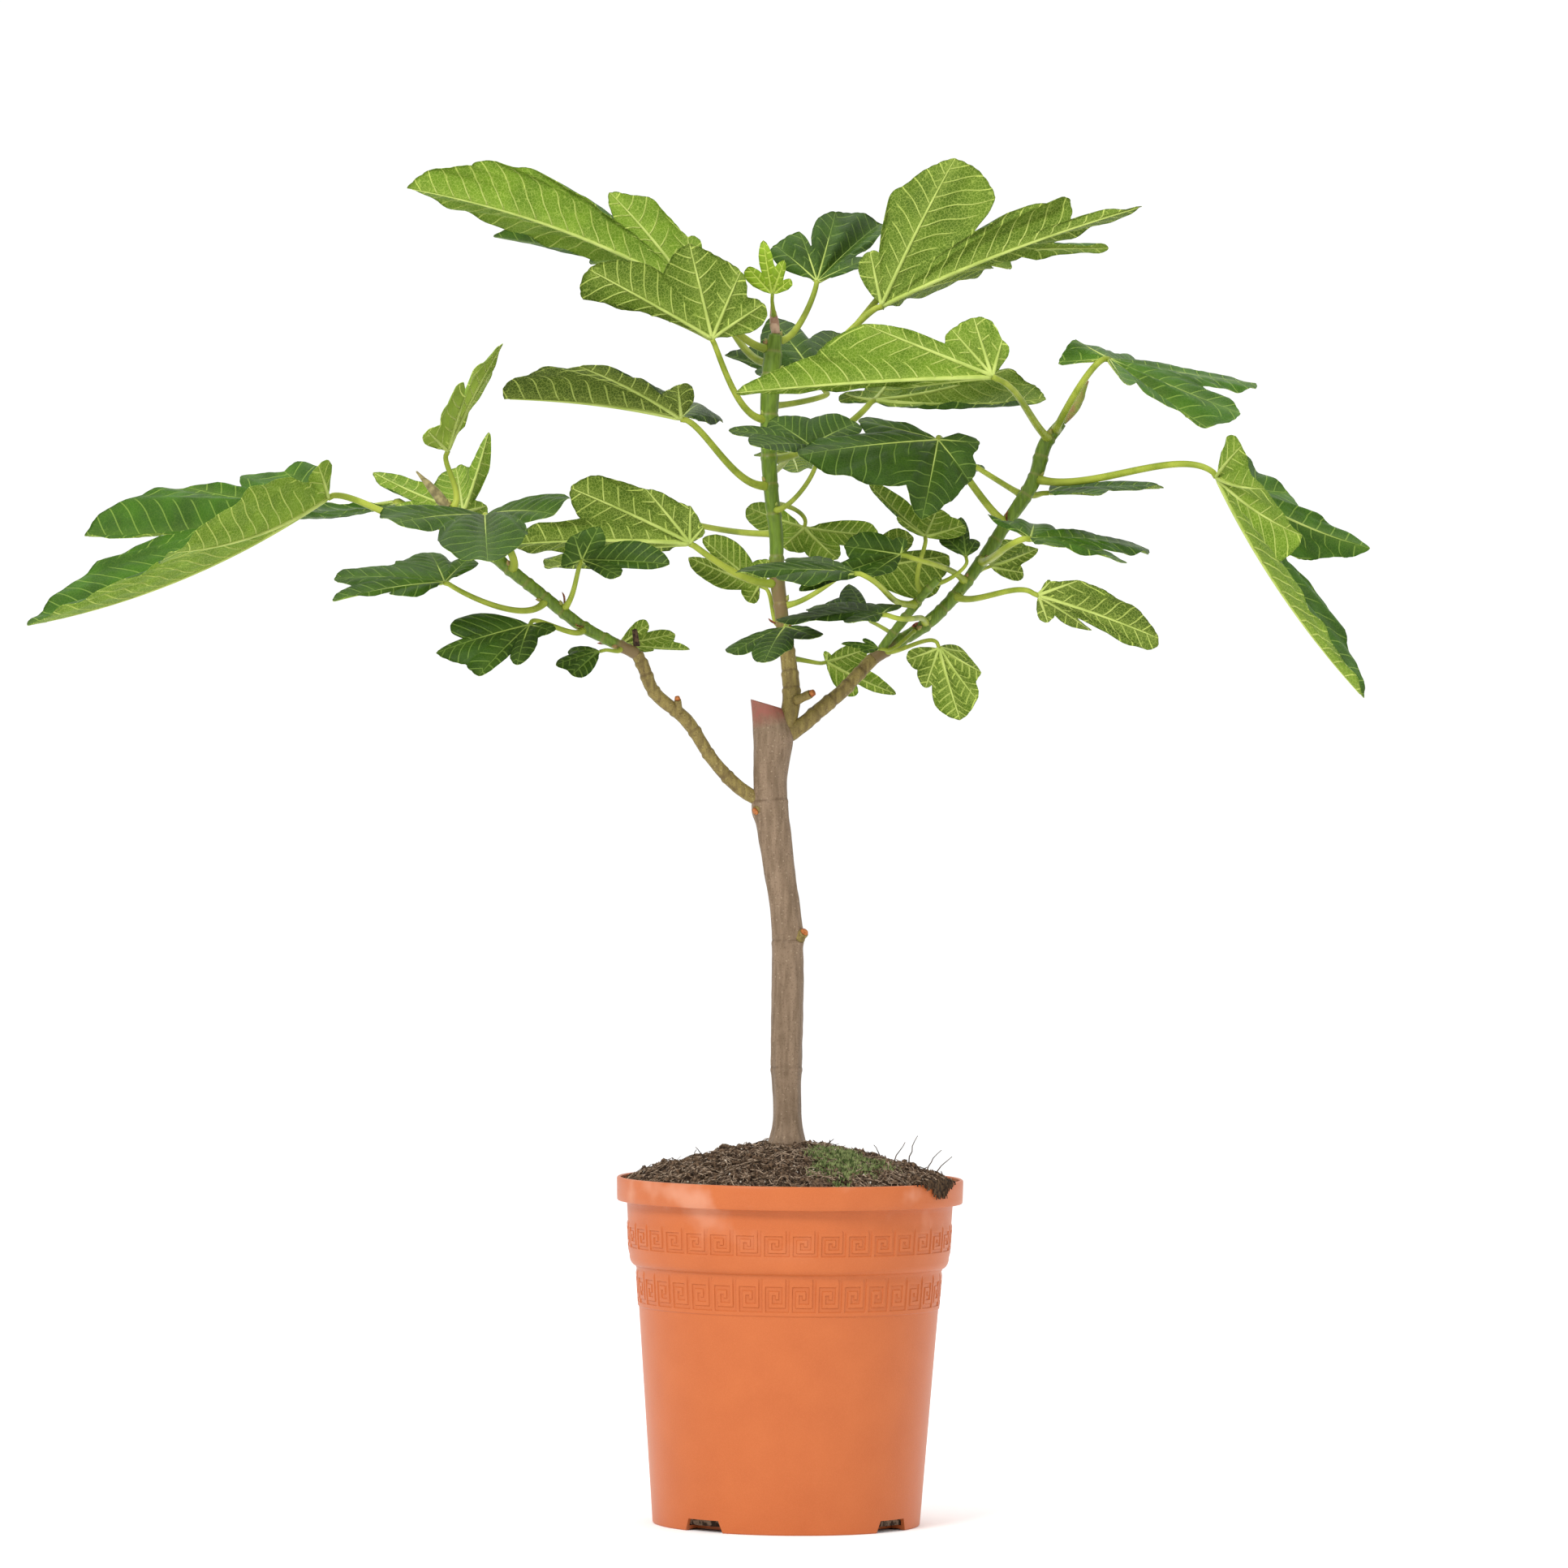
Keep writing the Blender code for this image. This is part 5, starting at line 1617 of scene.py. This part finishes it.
@dataclass
class FigLeaf:
    """A lobed leaf: its quilted blade, the veins under it and the stalk from its joint."""

    leaf: Leaf
    finishes: Finishes
    seed: int
    tone: float = 0.0
    sinus: float = 0.6
    close_lobes: float = math.radians(16)
    wide_lobes: float = math.radians(34)
    basal_turn: float = math.radians(30)
    least_basal_turn: float = math.radians(4)
    widest_fan: float = math.radians(275)
    basal_end: float = 0.25
    fullness: float = 3.0
    bay_fullness: float = 1.5
    whole_pull: float = 0.7
    neck: float = 3.5 * MM
    stalk_dip: float = 0.08
    main_apart: float = math.radians(20)
    thickness: float = 0.42 * MM
    column_step: float = 2.0 * MM
    rings_per_vein: float = 3.2
    tooth: float = 0.75 * MM
    tooth_length: float = 6.5 * MM
    quilt: float = 0.9 * MM
    quilt_from: float = 6 * MM
    groove: float = 0.45 * MM
    groove_width: float = 2.2 * MM
    wave_height: float = 1.1 * MM
    long_wave: float = 34 * MM
    short_wave: float = 21 * MM
    full_size: float = 90 * MM
    rib: float = 1.15 * MM
    rib_tip: float = 0.18 * MM
    rib_end: float = 0.985

    def __post_init__(self) -> None:
        """Works out the margin, the veins' places and the blade from the leaf's named places."""
        self.base = np.array(self.leaf.base, float) * MM
        self.tips = np.array(self.leaf.lobes, float) * MM - self.base
        self.lengths = np.linalg.norm(self.tips, axis=1)
        self.longest = float(self.lengths.max())
        self.spacing = float(np.clip(self.longest * 0.11, 4.6 * MM, 10.5 * MM))
        self.rng = np.random.default_rng(self.seed)
        self.shift = self.rng.uniform()
        self.row_starts = self.rng.uniform(-0.15, 0.15, (12, 2)) + (0.0, 0.5)
        self.row_bends = self.rng.uniform(0, math.tau, (12, 2))
        ways = unit(self.tips)
        self.gaps = np.arccos(np.clip((ways[1:] * ways[:-1]).sum(1), -1, 1))
        spare = (self.widest_fan - self.gaps.sum()) / 2
        self.basal_turn = min(self.basal_turn, max(self.least_basal_turn, spare))
        self.margin = self.edge()
        self.mains = self.main_lobes()
        self.blade = self.sheet()
        name, f = self.leaf.name, self.finishes
        # A SHADED leaf takes darker greens as painted shade.
        age_and_shade = next((age_and_shade for age_and_shade, names in AGES_AND_SHADE.items() if name in names), LeafAgeAndShade.GROWN)
        self.piece = Piece(name + "_leaf", f.upper[age_and_shade], f.under[age_and_shade], f.vein, f.stalk)

    def flank(self, lobe: int, inner: int, t: Array, normal: Array) -> tuple[Array, ...]:
        """The basal flank beside an outer lobe.

        Args:
            lobe: The outer lobe.
            inner: The lobe next to it.
            t: How far each column is from the lobe, as a share of the flank.
            normal: The blade's normal there.

        Returns:
            Directions, reaches and normals of its columns.
        """
        way = unit(self.tips[lobe])
        axis = unit(np.cross(self.tips[lobe], self.tips[inner]))
        outer = way * math.cos(self.basal_turn) - np.cross(axis, way) * math.sin(self.basal_turn)
        scale = 1 - (1 - self.basal_end) * t**self.fullness
        return slerp(way, outer, t), self.lengths[lobe] * scale, np.repeat(normal[None], len(t), 0)

    def edge(self) -> Edge:
        """Walks round the margin from the left basal end to the right one.

        Returns:
            The margin.
        """
        planes = np.cross(self.tips[1:], self.tips[:-1])
        sides = np.concatenate([planes[:1], planes]) + np.concatenate([planes, planes[-1:]])
        normals = unit(sides + planes.sum(0) * self.whole_pull)
        ways, last = unit(self.tips), len(self.tips) - 1
        parts: list[tuple[Array, ...]] = []
        lobes: list[int] = []
        steps = max(4, math.ceil(self.basal_turn * self.lengths[0] / self.column_step))
        parts.append(self.flank(0, 1, np.linspace(1, 0, steps, endpoint=False), normals[0]))
        for k in range(last):
            lobes.append(sum(len(part[1]) for part in parts))
            parts.append(self.between(k, ways, normals))
        lobes.append(sum(len(part[1]) for part in parts))
        steps = max(4, math.ceil(self.basal_turn * self.lengths[-1] / self.column_step))
        parts.append(self.flank(-1, -2, np.linspace(0, 1, steps + 1), normals[-1]))
        ways, reach, normals = (np.concatenate([part[n] for part in parts]) for n in range(3))
        turned = np.arccos(np.clip((ways[1:] * ways[:-1]).sum(1), -1, 1))
        angles = np.concatenate([[0], np.cumsum(turned)])
        return Edge(ways, reach, unit(normals), angles, lobes)

    def between(self, k: int, ways: Array, normals: Array) -> tuple[Array, ...]:
        """The margin from one lobe to the next, without the next lobe's own tip.

        Args:
            k: The left lobe.
            ways: Directions of all lobes.
            normals: The blade's normals at all lobes.

        Returns:
            Directions, reaches and normals of its columns.
        """
        left, right = self.lengths[k], self.lengths[k + 1]
        chord = float(np.linalg.norm(self.tips[k + 1] - self.tips[k]))
        steps = max(4, math.ceil(max(self.gaps[k] * max(left, right), chord) / self.column_step))
        t = np.linspace(0, 1, steps, endpoint=False)
        depth = self.leaf.bays[k] if self.leaf.bays else self.usual_bay(self.gaps[k])
        if depth >= 1:
            points = self.tips[k] + (self.tips[k + 1] - self.tips[k]) * t[:, None]
            points = points * (1 + 0.16 * t * (1 - t))[:, None]
            way, reach = unit(points), np.linalg.norm(points, axis=1)
        else:
            bay = depth * min(left, right)
            away = 1 - np.abs(2 * t - 1)
            tip = np.where(t < 0.5, left, right)
            way, reach = slerp(ways[k], ways[k + 1], t), bay + (tip - bay) * (1 - away**self.bay_fullness)
        return way, reach, normals[k] + (normals[k + 1] - normals[k]) * t[:, None]

    def usual_bay(self, gap: float) -> float:
        """How far out a bay reaches between two lobes at this angle, as a share of the shorter one."""
        openness = min(max((gap - self.close_lobes) / (self.wide_lobes - self.close_lobes), 0.0), 1.0)
        return 1 - (1 - self.sinus) * openness

    def main_lobes(self) -> list[int]:
        """Finds the lobes that carry a main vein: those that aren't close beside a longer one.

        Returns:
            Their columns, from left to right.
        """
        edge = self.margin
        chosen: list[int] = []
        for k in np.argsort(-self.lengths):
            column = edge.lobes[k]
            if all(abs(edge.angles[column] - edge.angles[other]) > self.main_apart for other in chosen):
                chosen.append(column)
        return sorted(chosen)

    def sheet(self) -> Sheet:
        """Spreads the blade's surface between its veins.

        Returns:
            The surface.
        """
        edge, mains = self.margin, self.mains
        rings = max(7, math.ceil(self.longest / self.spacing * self.rings_per_vein))
        s = (np.arange(1, rings + 1) / rings)[:, None]
        off = np.abs(edge.angles[:, None] - edge.angles[mains][None, :])
        away = off.min(1)
        ordered = np.sort(off, axis=1)
        partner = ordered[:, 1] if len(mains) > 1 else ordered[:, 0] * 0 + 0.6
        between = np.clip(2 * away / np.maximum(away + partner, 1e-6), 0, 1)
        walk = run_along(edge.ways * edge.reach[:, None])
        tooth = self.tooth * min(1.0, self.longest / 0.07)
        teeth = tooth * (np.abs(np.sin(math.pi * (walk / self.tooth_length + self.shift))) ** 0.7 - 0.6)
        ends = np.clip(np.minimum(walk, walk[-1] - walk) / (5 * MM), 0, 1)
        reach = edge.reach + teeth * ends
        r = s * reach
        along, across = r * np.cos(away), r * np.sin(away)
        nearest = off.argmin(1)
        flank = (edge.angles > edge.angles[mains][nearest]).astype(int)
        bend = self.row_bends[nearest, flank]
        rank = (along - self.side_line(across, bend)) / self.spacing + self.shift
        rank = rank + self.row_starts[nearest, flank]
        meeting = np.clip(between, 0, 1) ** 6 + s * 0
        puff = (np.abs(np.sin(math.pi * rank)) ** 0.8 - 0.5) * (1 - meeting)
        lift = 4 * self.leaf.arch * s * (1 - s) * edge.reach
        lift = lift + 0.05 * edge.reach * (1 - np.cos(math.pi * between)) / 2 * s * (1 - s**2) * 2
        lift = lift + self.quilt * np.minimum(1, across / self.quilt_from) * puff * (1 - s**6)
        lift = lift - self.groove * np.exp(-((across / self.groove_width) ** 2)) * (1 - s**4)
        wave = np.sin(math.tau * walk / self.long_wave + self.shift * 9)
        wave = wave + 0.6 * np.sin(math.tau * walk / self.short_wave)
        lift = lift + min(0.012 * self.longest, self.wave_height) * s**3 * wave * ends
        points = self.base + edge.ways * r[..., None] + edge.normals * lift[..., None]
        ahead = np.gradient(points, axis=0)
        right = np.gradient(points, axis=1)
        normals = unit(np.cross(right, ahead))
        marks = {
            "midrib": across,
            "rank": rank,
            "spacing": rank * 0 + self.spacing,
            "outward": s + reach * 0,
            "tone": rank * 0 + self.tone,
            "meeting": meeting,
        }
        return Sheet(points, normals, s[:, 0], marks)

    def side_line(self, across: Array, bend: Array | float) -> Array:
        """How far up the leaf a side vein has gone where it is this far across."""
        return 0.6 * across + 5 * across**2 + 1.1 * MM * (np.sin(across / (4.2 * MM) + bend) - np.sin(bend))

    def build(self) -> None:
        """Builds the leaf in place of its node."""
        self.add_plate()
        self.add_main_veins()
        self.add_side_veins()
        self.add_stalk()
        self.piece.place(self.leaf.name, slot="fig_leaf")

    def add_plate(self) -> None:
        """Adds the blade's two skins and the rim that joins them."""
        piece, sheet = self.piece, self.blade
        rings, columns = sheet.points.shape[:2]
        grid = grid_faces(rings, columns, False)
        k = np.arange(columns - 1)
        count = rings * columns
        middle = np.full(columns - 1, count)
        normal = unit(sheet.normals[0].mean(0))
        starts = []
        for side, slot in ((1, 0), (-1, 1)):
            offset = sheet.normals * self.thickness / 2 * side
            at_foot = self.base + normal * self.thickness / 2 * side
            points = np.concatenate([(sheet.points + offset).reshape(-1, 3), [at_foot]])
            at_base = {"spacing": self.spacing, "tone": self.tone}
            marks = {}
            for name, values in sheet.marks.items():
                marks[name] = np.append(values.ravel(), at_base.get(name, 0.0))
            first = piece.add(points, grid[:, ::side], slot, **marks)
            fan = np.stack([middle, k + 1, k], 1)[:, ::side]
            piece.add_faces(fan + first, slot)
            starts.append(first)
        outline = [count, *range(0, count, columns), *range(count - columns + 1, count)]
        outline = np.array(outline + [*range(count - columns - 1, 0, -columns)])
        after = np.roll(outline, -1)
        top, low = starts
        piece.add_faces(np.stack([top + after, top + outline, low + outline, low + after], 1), 1)

    def add_main_veins(self) -> None:
        """Adds the ribs under the blade along its main veins."""
        sheet = self.blade
        keep = sheet.share < self.rib_end
        size = self.rib * min(1.0, self.longest / self.full_size) ** 0.5
        for column in self.mains:
            line = sheet.points[keep, column]
            down = sheet.normals[keep, column]
            radii = size * (1 - sheet.share[keep]) ** 0.7 + self.rib_tip
            line = np.concatenate([[self.base], line])
            down = np.concatenate([down[:1], down])
            radii = np.concatenate([[size * 1.1], radii])
            line = line - down * (self.thickness / 2 + radii * 0.35)[:, None]
            add_tube(self.piece, line, radii, 6, 2)

    def add_side_veins(self) -> None:
        """Adds the fine ribs that branch from the main ones."""
        angles = self.margin.angles
        centres = angles[self.mains]
        for n, centre in enumerate(centres):
            for side in (-1, 1):
                other = n + side
                if 0 <= other < len(centres):
                    limit = abs(centres[other] - centre) / 2
                else:
                    limit = angles[-1] - centre if side > 0 else centre
                flank = (n, int(side > 0))
                starts = self.row_starts[flank] + self.shift
                self.add_row(centre, side, limit, (starts, self.row_bends[flank]))

    def add_row(self, centre: float, side: int, limit: float, row: tuple[float, float]) -> None:
        """Adds the ribs on one side of one main vein.

        Args:
            centre: The main vein's angle.
            side: Which side of it.
            limit: How far round the row may go.
            row: The row's start and the phase of its bends.
        """
        edge = self.margin
        size = min(1.0, self.longest / self.full_size) ** 0.4
        b = np.linspace(0.6 * MM, 70 * MM, 60)
        for m in range(1, 30):
            a = (m - row[0]) * self.spacing + self.side_line(b, row[1])
            if a[0] < 2 * MM or a[0] > self.longest:
                continue
            angle, r = np.arctan2(b, a), np.hypot(a, b)
            theta = centre + side * angle
            reach = np.interp(theta, edge.angles, edge.reach)
            share = r / reach
            inside = (angle < limit * 0.93) & (share < 0.97)
            stop = len(b) if inside.all() else int(np.argmin(inside))
            if stop < 4:
                continue
            picks = np.unique(np.linspace(0, stop - 1, min(stop, 9)).astype(int))
            line, normal = self.sample(theta[picks], share[picks])
            t = np.linspace(0, 1, len(picks))
            radii = (0.46 - 0.34 * t) * MM * size
            line = line - normal * (self.thickness / 2 + radii * 0.3)[:, None]
            add_tube(self.piece, line, radii, 3, 2)

    def sample(self, theta: Array, share: Array) -> tuple[Array, Array]:
        """Finds places on the blade.

        Args:
            theta: Angles round from the margin's left end.
            share: Shares of the blade's reach there.

        Returns:
            The places and the blade's normals at them.
        """
        edge, sheet = self.margin, self.blade
        column = np.interp(theta, edge.angles, np.arange(len(edge.angles)))
        row = np.interp(share, sheet.share, np.arange(len(sheet.share)))
        c, r = np.floor(column).astype(int), np.floor(row).astype(int)
        c = np.minimum(c, len(edge.angles) - 2)
        r = np.minimum(r, len(sheet.share) - 2)
        u, v = (column - c)[:, None], (row - r)[:, None]
        found = []
        for grid in (sheet.points, sheet.normals):
            low = grid[r, c] * (1 - u) + grid[r, c + 1] * u
            high = grid[r + 1, c] * (1 - u) + grid[r + 1, c + 1] * u
            found.append(low * (1 - v) + high * v)
        return found[0], unit(found[1])

    def add_stalk(self) -> None:
        """Adds the stalk, swollen where it leaves its joint."""
        edge = self.margin
        centre, radius, along = limb_at(LIMBS[self.leaf.grows_on()], self.leaf.node_height * MM)
        outward = self.base - centre
        outward = unit(outward - (outward @ along) * along)
        up = unit(edge.normals.mean(0))
        middle = ((edge.ways[1:] + edge.ways[:-1]) * np.diff(edge.angles)[:, None]).sum(0)
        arrival = unit(middle - (middle @ up) * up)
        start = centre + outward * (radius * 0.7)
        reach = float(np.linalg.norm(self.base - start))
        below = 1.0 if (start - self.base) @ up <= 0 else -1.0
        neck = self.base - arrival * self.neck
        bend_in = neck - arrival * reach * 0.2 - up * below * reach * self.stalk_dip
        t = np.linspace(0, 1, max(8, int(reach / (2 * MM))))[:, None]
        route = start * (1 - t) ** 3 + 3 * (start + outward * reach * 0.3) * t * (1 - t) ** 2
        route = route + 3 * bend_in * t**2 * (1 - t) + neck * t**3
        route = np.concatenate([route, [neck * 0.5 + self.base * 0.5, self.base]])
        t = np.append(t[:, 0], [1.0, 1.0])
        thick = (2.45 - 0.6 * t) * MM * float(np.clip(self.longest / 0.1, 0.4, 1.0)) ** 0.6
        joint = 0.9 * MM * np.exp(-t * reach / (3.5 * MM)) * min(1.0, self.longest / 0.06)
        route = route - up * (t**4)[:, None] * thick[-1] * 0.5
        add_tube(self.piece, route, thick + joint, 10, 3)


def wood(finishes: Finishes) -> list[Limb]:
    """Lists the trunk, the boughs and the shoots with what each one shows.

    Args:
        finishes: The plant's materials.

    Returns:
        The limbs.
    """
    f = finishes
    return [
        Limb("trunk", TRUNK, (f.bark, f.wood), "fig_bark", rings=(0.2745, 0.3515, 0.4365), sides=72,
              step=0.8 * MM, relief=0.24 * MM, flutes=0.35 * MM, ring_swell=0.3 * MM,
              cut=TRUNK_CUT, seed=31,
              knobs=((0.0075, -0.006, 0.3580, 5.0, 2.4), (0.0065, -0.006, 0.3520, 3.0, 1.2),
                     (-0.0225, -0.004, 0.4315, 6.5, 2.2), (-0.004, -0.004, 0.4760, 8.0, 2.0),
                     (-0.0140, -0.008, 0.4840, 6.0, 1.0), (-0.010, -0.008, 0.2950, 7.0, 0.7))),
        Limb("leader_bough", LEADER_BOUGH, (f.bough,), "fig_bark", rings=(0.5045, 0.515, 0.5285, 0.5395),
             seed=32),
        Limb("left_bough", LEFT_BOUGH, (f.bough,), "fig_bark",
             rings=(0.452, 0.466, 0.479, 0.492, 0.503, 0.512, 0.520), seed=33),
        Limb("right_bough", RIGHT_BOUGH, (f.bough,), "fig_bark",
             rings=(0.490, 0.498, 0.508, 0.516), seed=34),
        Limb("dead_stub", DEAD_STUB, (f.stem,), "fig_bark", sides=12, relief=0.25 * MM, seed=35),
        Limb("leader_shoot", LEADER_SHOOT, (f.shoot,), "green_shoot",
             rings=(0.556, 0.573, 0.5845, 0.6105, 0.6285, 0.6455, 0.6545, 0.6705, 0.6945, 0.7085),
             brown_foot=0.028, seed=36),
        Limb("left_shoot", LEFT_SHOOT, (f.shoot,), "green_shoot",
             rings=(0.530, 0.5345, 0.541, 0.5495, 0.5585, 0.5665, 0.575, 0.583, 0.591, 0.600, 0.607),
             brown_foot=0.012, seed=37),
        Limb("right_shoot", RIGHT_SHOOT, (f.shoot,), "green_shoot",
             rings=(0.530, 0.5365, 0.5455, 0.5545, 0.563, 0.573, 0.585, 0.597, 0.6085, 0.6245, 0.6365,
                    0.648, 0.660), brown_foot=0.014, seed=38),
        Limb("inner_shoot", INNER_SHOOT, (f.shoot,), "green_shoot", rings=(0.540, 0.550, 0.559, 0.567),
             sides=20, seed=39),
    ]


@dataclass(frozen=True)
class AxilBuds:
    """The small pointed buds that sit over each leaf's joint, and the dry stipules beside them."""

    # Pruned stubs as (foot, tip, radius).
    STUBS = (
        ((0.000, -0.002, 0.4985), (0.0105, -0.0075, 0.5035), 2.7 * MM),
        ((-0.070, -0.018, 0.4905), (-0.0715, -0.0225, 0.4995), 2.1 * MM),
        ((0.0040, -0.0050, 0.3550), (0.0072, -0.0085, 0.3590), 3.0 * MM),
        ((-0.0190, -0.0040, 0.4340), (-0.0240, -0.0070, 0.4310), 3.0 * MM),
    )

    finishes: Finishes
    length: float = 4.2 * MM
    radius: float = 1.5 * MM

    def build(self) -> None:
        """Builds the buds as one piece and the stipules as another."""
        rng = np.random.default_rng(41)
        buds = Piece("axil_buds", self.finishes.right_bud, self.finishes.resin, self.finishes.bough)
        scales = Piece("dry_stipules", self.finishes.stipule)
        for foot, tip, radius in self.STUBS:
            line = np.linspace(foot, tip, 7)
            add_tube(buds, line[:6], radius * np.array([1.25, 1.1, 1.0, 1.0, 1.05, 1.0]), 14, 2)
            add_tube(buds, line[5:] + (line[6] - line[5]) * 0.3, radius * np.array([0.88, 0.7]), 14, 1)
        for leaf in LEAVES:
            if leaf.grows_on() not in ("leader_shoot", "left_shoot", "right_shoot", "leader_bough"):
                continue
            centre, radius, along = limb_at(LIMBS[leaf.grows_on()], leaf.node_height * MM)
            outward = np.array(leaf.base) * MM - centre
            outward = unit(outward - (outward @ along) * along)
            size = rng.uniform(0.6, 1.1)
            foot = centre + outward * radius * 0.75 + along * 2.6 * MM
            way = unit(outward * 0.75 + along * rng.uniform(0.8, 1.4))
            t = np.linspace(0, 1, 8)
            radii = self.radius * size * np.array([0.6, 0.95, 1.05, 1.0, 0.85, 0.6, 0.32, 0.08])
            add_tube(buds, foot + way * (t * self.length * size)[:, None], radii, 8)
            if rng.uniform() < 0.5:
                spin = np.cross(along, outward) * rng.choice([-1, 1])
                start = centre + unit(outward + spin * 0.9) * radius + along * 1.0 * MM
                way = unit(outward * 0.8 + along + spin * rng.uniform(0, 0.7))
                tip = start + way * rng.uniform(4, 9) * MM
                add_scale(scales, start, tip, rng.uniform(1.6, 2.8) * MM, outward)
        buds.place(slot="bud_scale")
        scales.place(slot="bud_scale")


def add_scale(piece: Piece, start: Array, tip: Array, width: float, outward: Array) -> None:
    """Adds one dry papery scale, curved and pointed.

    Args:
        piece: The piece to add to.
        start: Its foot.
        tip: Its tip.
        width: Greatest width.
        outward: The way its back faces.
    """
    t = np.linspace(0, 1, 7)[:, None]
    bow = np.sin(t * math.pi) * 0.18 * np.linalg.norm(tip - start)
    line = start + (tip - start) * t + outward * bow
    side = unit(np.cross(tip - start, outward))
    half = width / 2 * (1 - t**2) * (0.7 + 0.6 * t)
    cup = outward * 0.35 * half
    rows = np.stack([line - side * half - cup, line, line + side * half - cup], 1)
    thick = outward * 0.12 * MM
    top = rows + thick
    low = rows - thick
    grid = grid_faces(len(t), 3, False)
    first = piece.add(np.concatenate([top.reshape(-1, 3), low.reshape(-1, 3)]), grid)
    count = len(t) * 3
    piece.add_faces(grid[:, ::-1] + first + count, 0)
    outline = np.array([*range(0, count, 3), count - 2, *range(count - 1, 0, -3), 1])
    after = np.roll(outline, -1)
    piece.add_faces(first + np.stack([outline, outline + count, after + count, after], 1), 0)


def main() -> None:
    """Builds the studio, the pot with its soil, the wood, the buds and the leaves, in that order."""
    logging.basicConfig(level=logging.INFO, format="%(message)s")
    finishes = Finishes()
    Studio().build()
    Pot(finishes.pot).build()
    Soil(finishes).build()
    for limb in wood(finishes):
        limb.build()
    Bud("leader_bud", LEADER_BUD, finishes.leader_bud).build()
    Bud("left_bud", LEFT_BUD, finishes.left_bud).build()
    Bud("right_bud", RIGHT_BUD, finishes.right_bud).build()
    AxilBuds(finishes).build()
    rng = np.random.default_rng(7)
    for seed, leaf in enumerate(LEAVES):
        # Each leaf's tone is partly its own green and partly painted light and shade, with a small random
        # spread.
        tone = TONES_AND_PAINTED_LIGHT.get(leaf.name, 0.0) + rng.uniform(-0.15, 0.15)
        FigLeaf(leaf, finishes, 100 + seed, tone).build()
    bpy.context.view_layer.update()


if __name__ == "__main__":
    main()
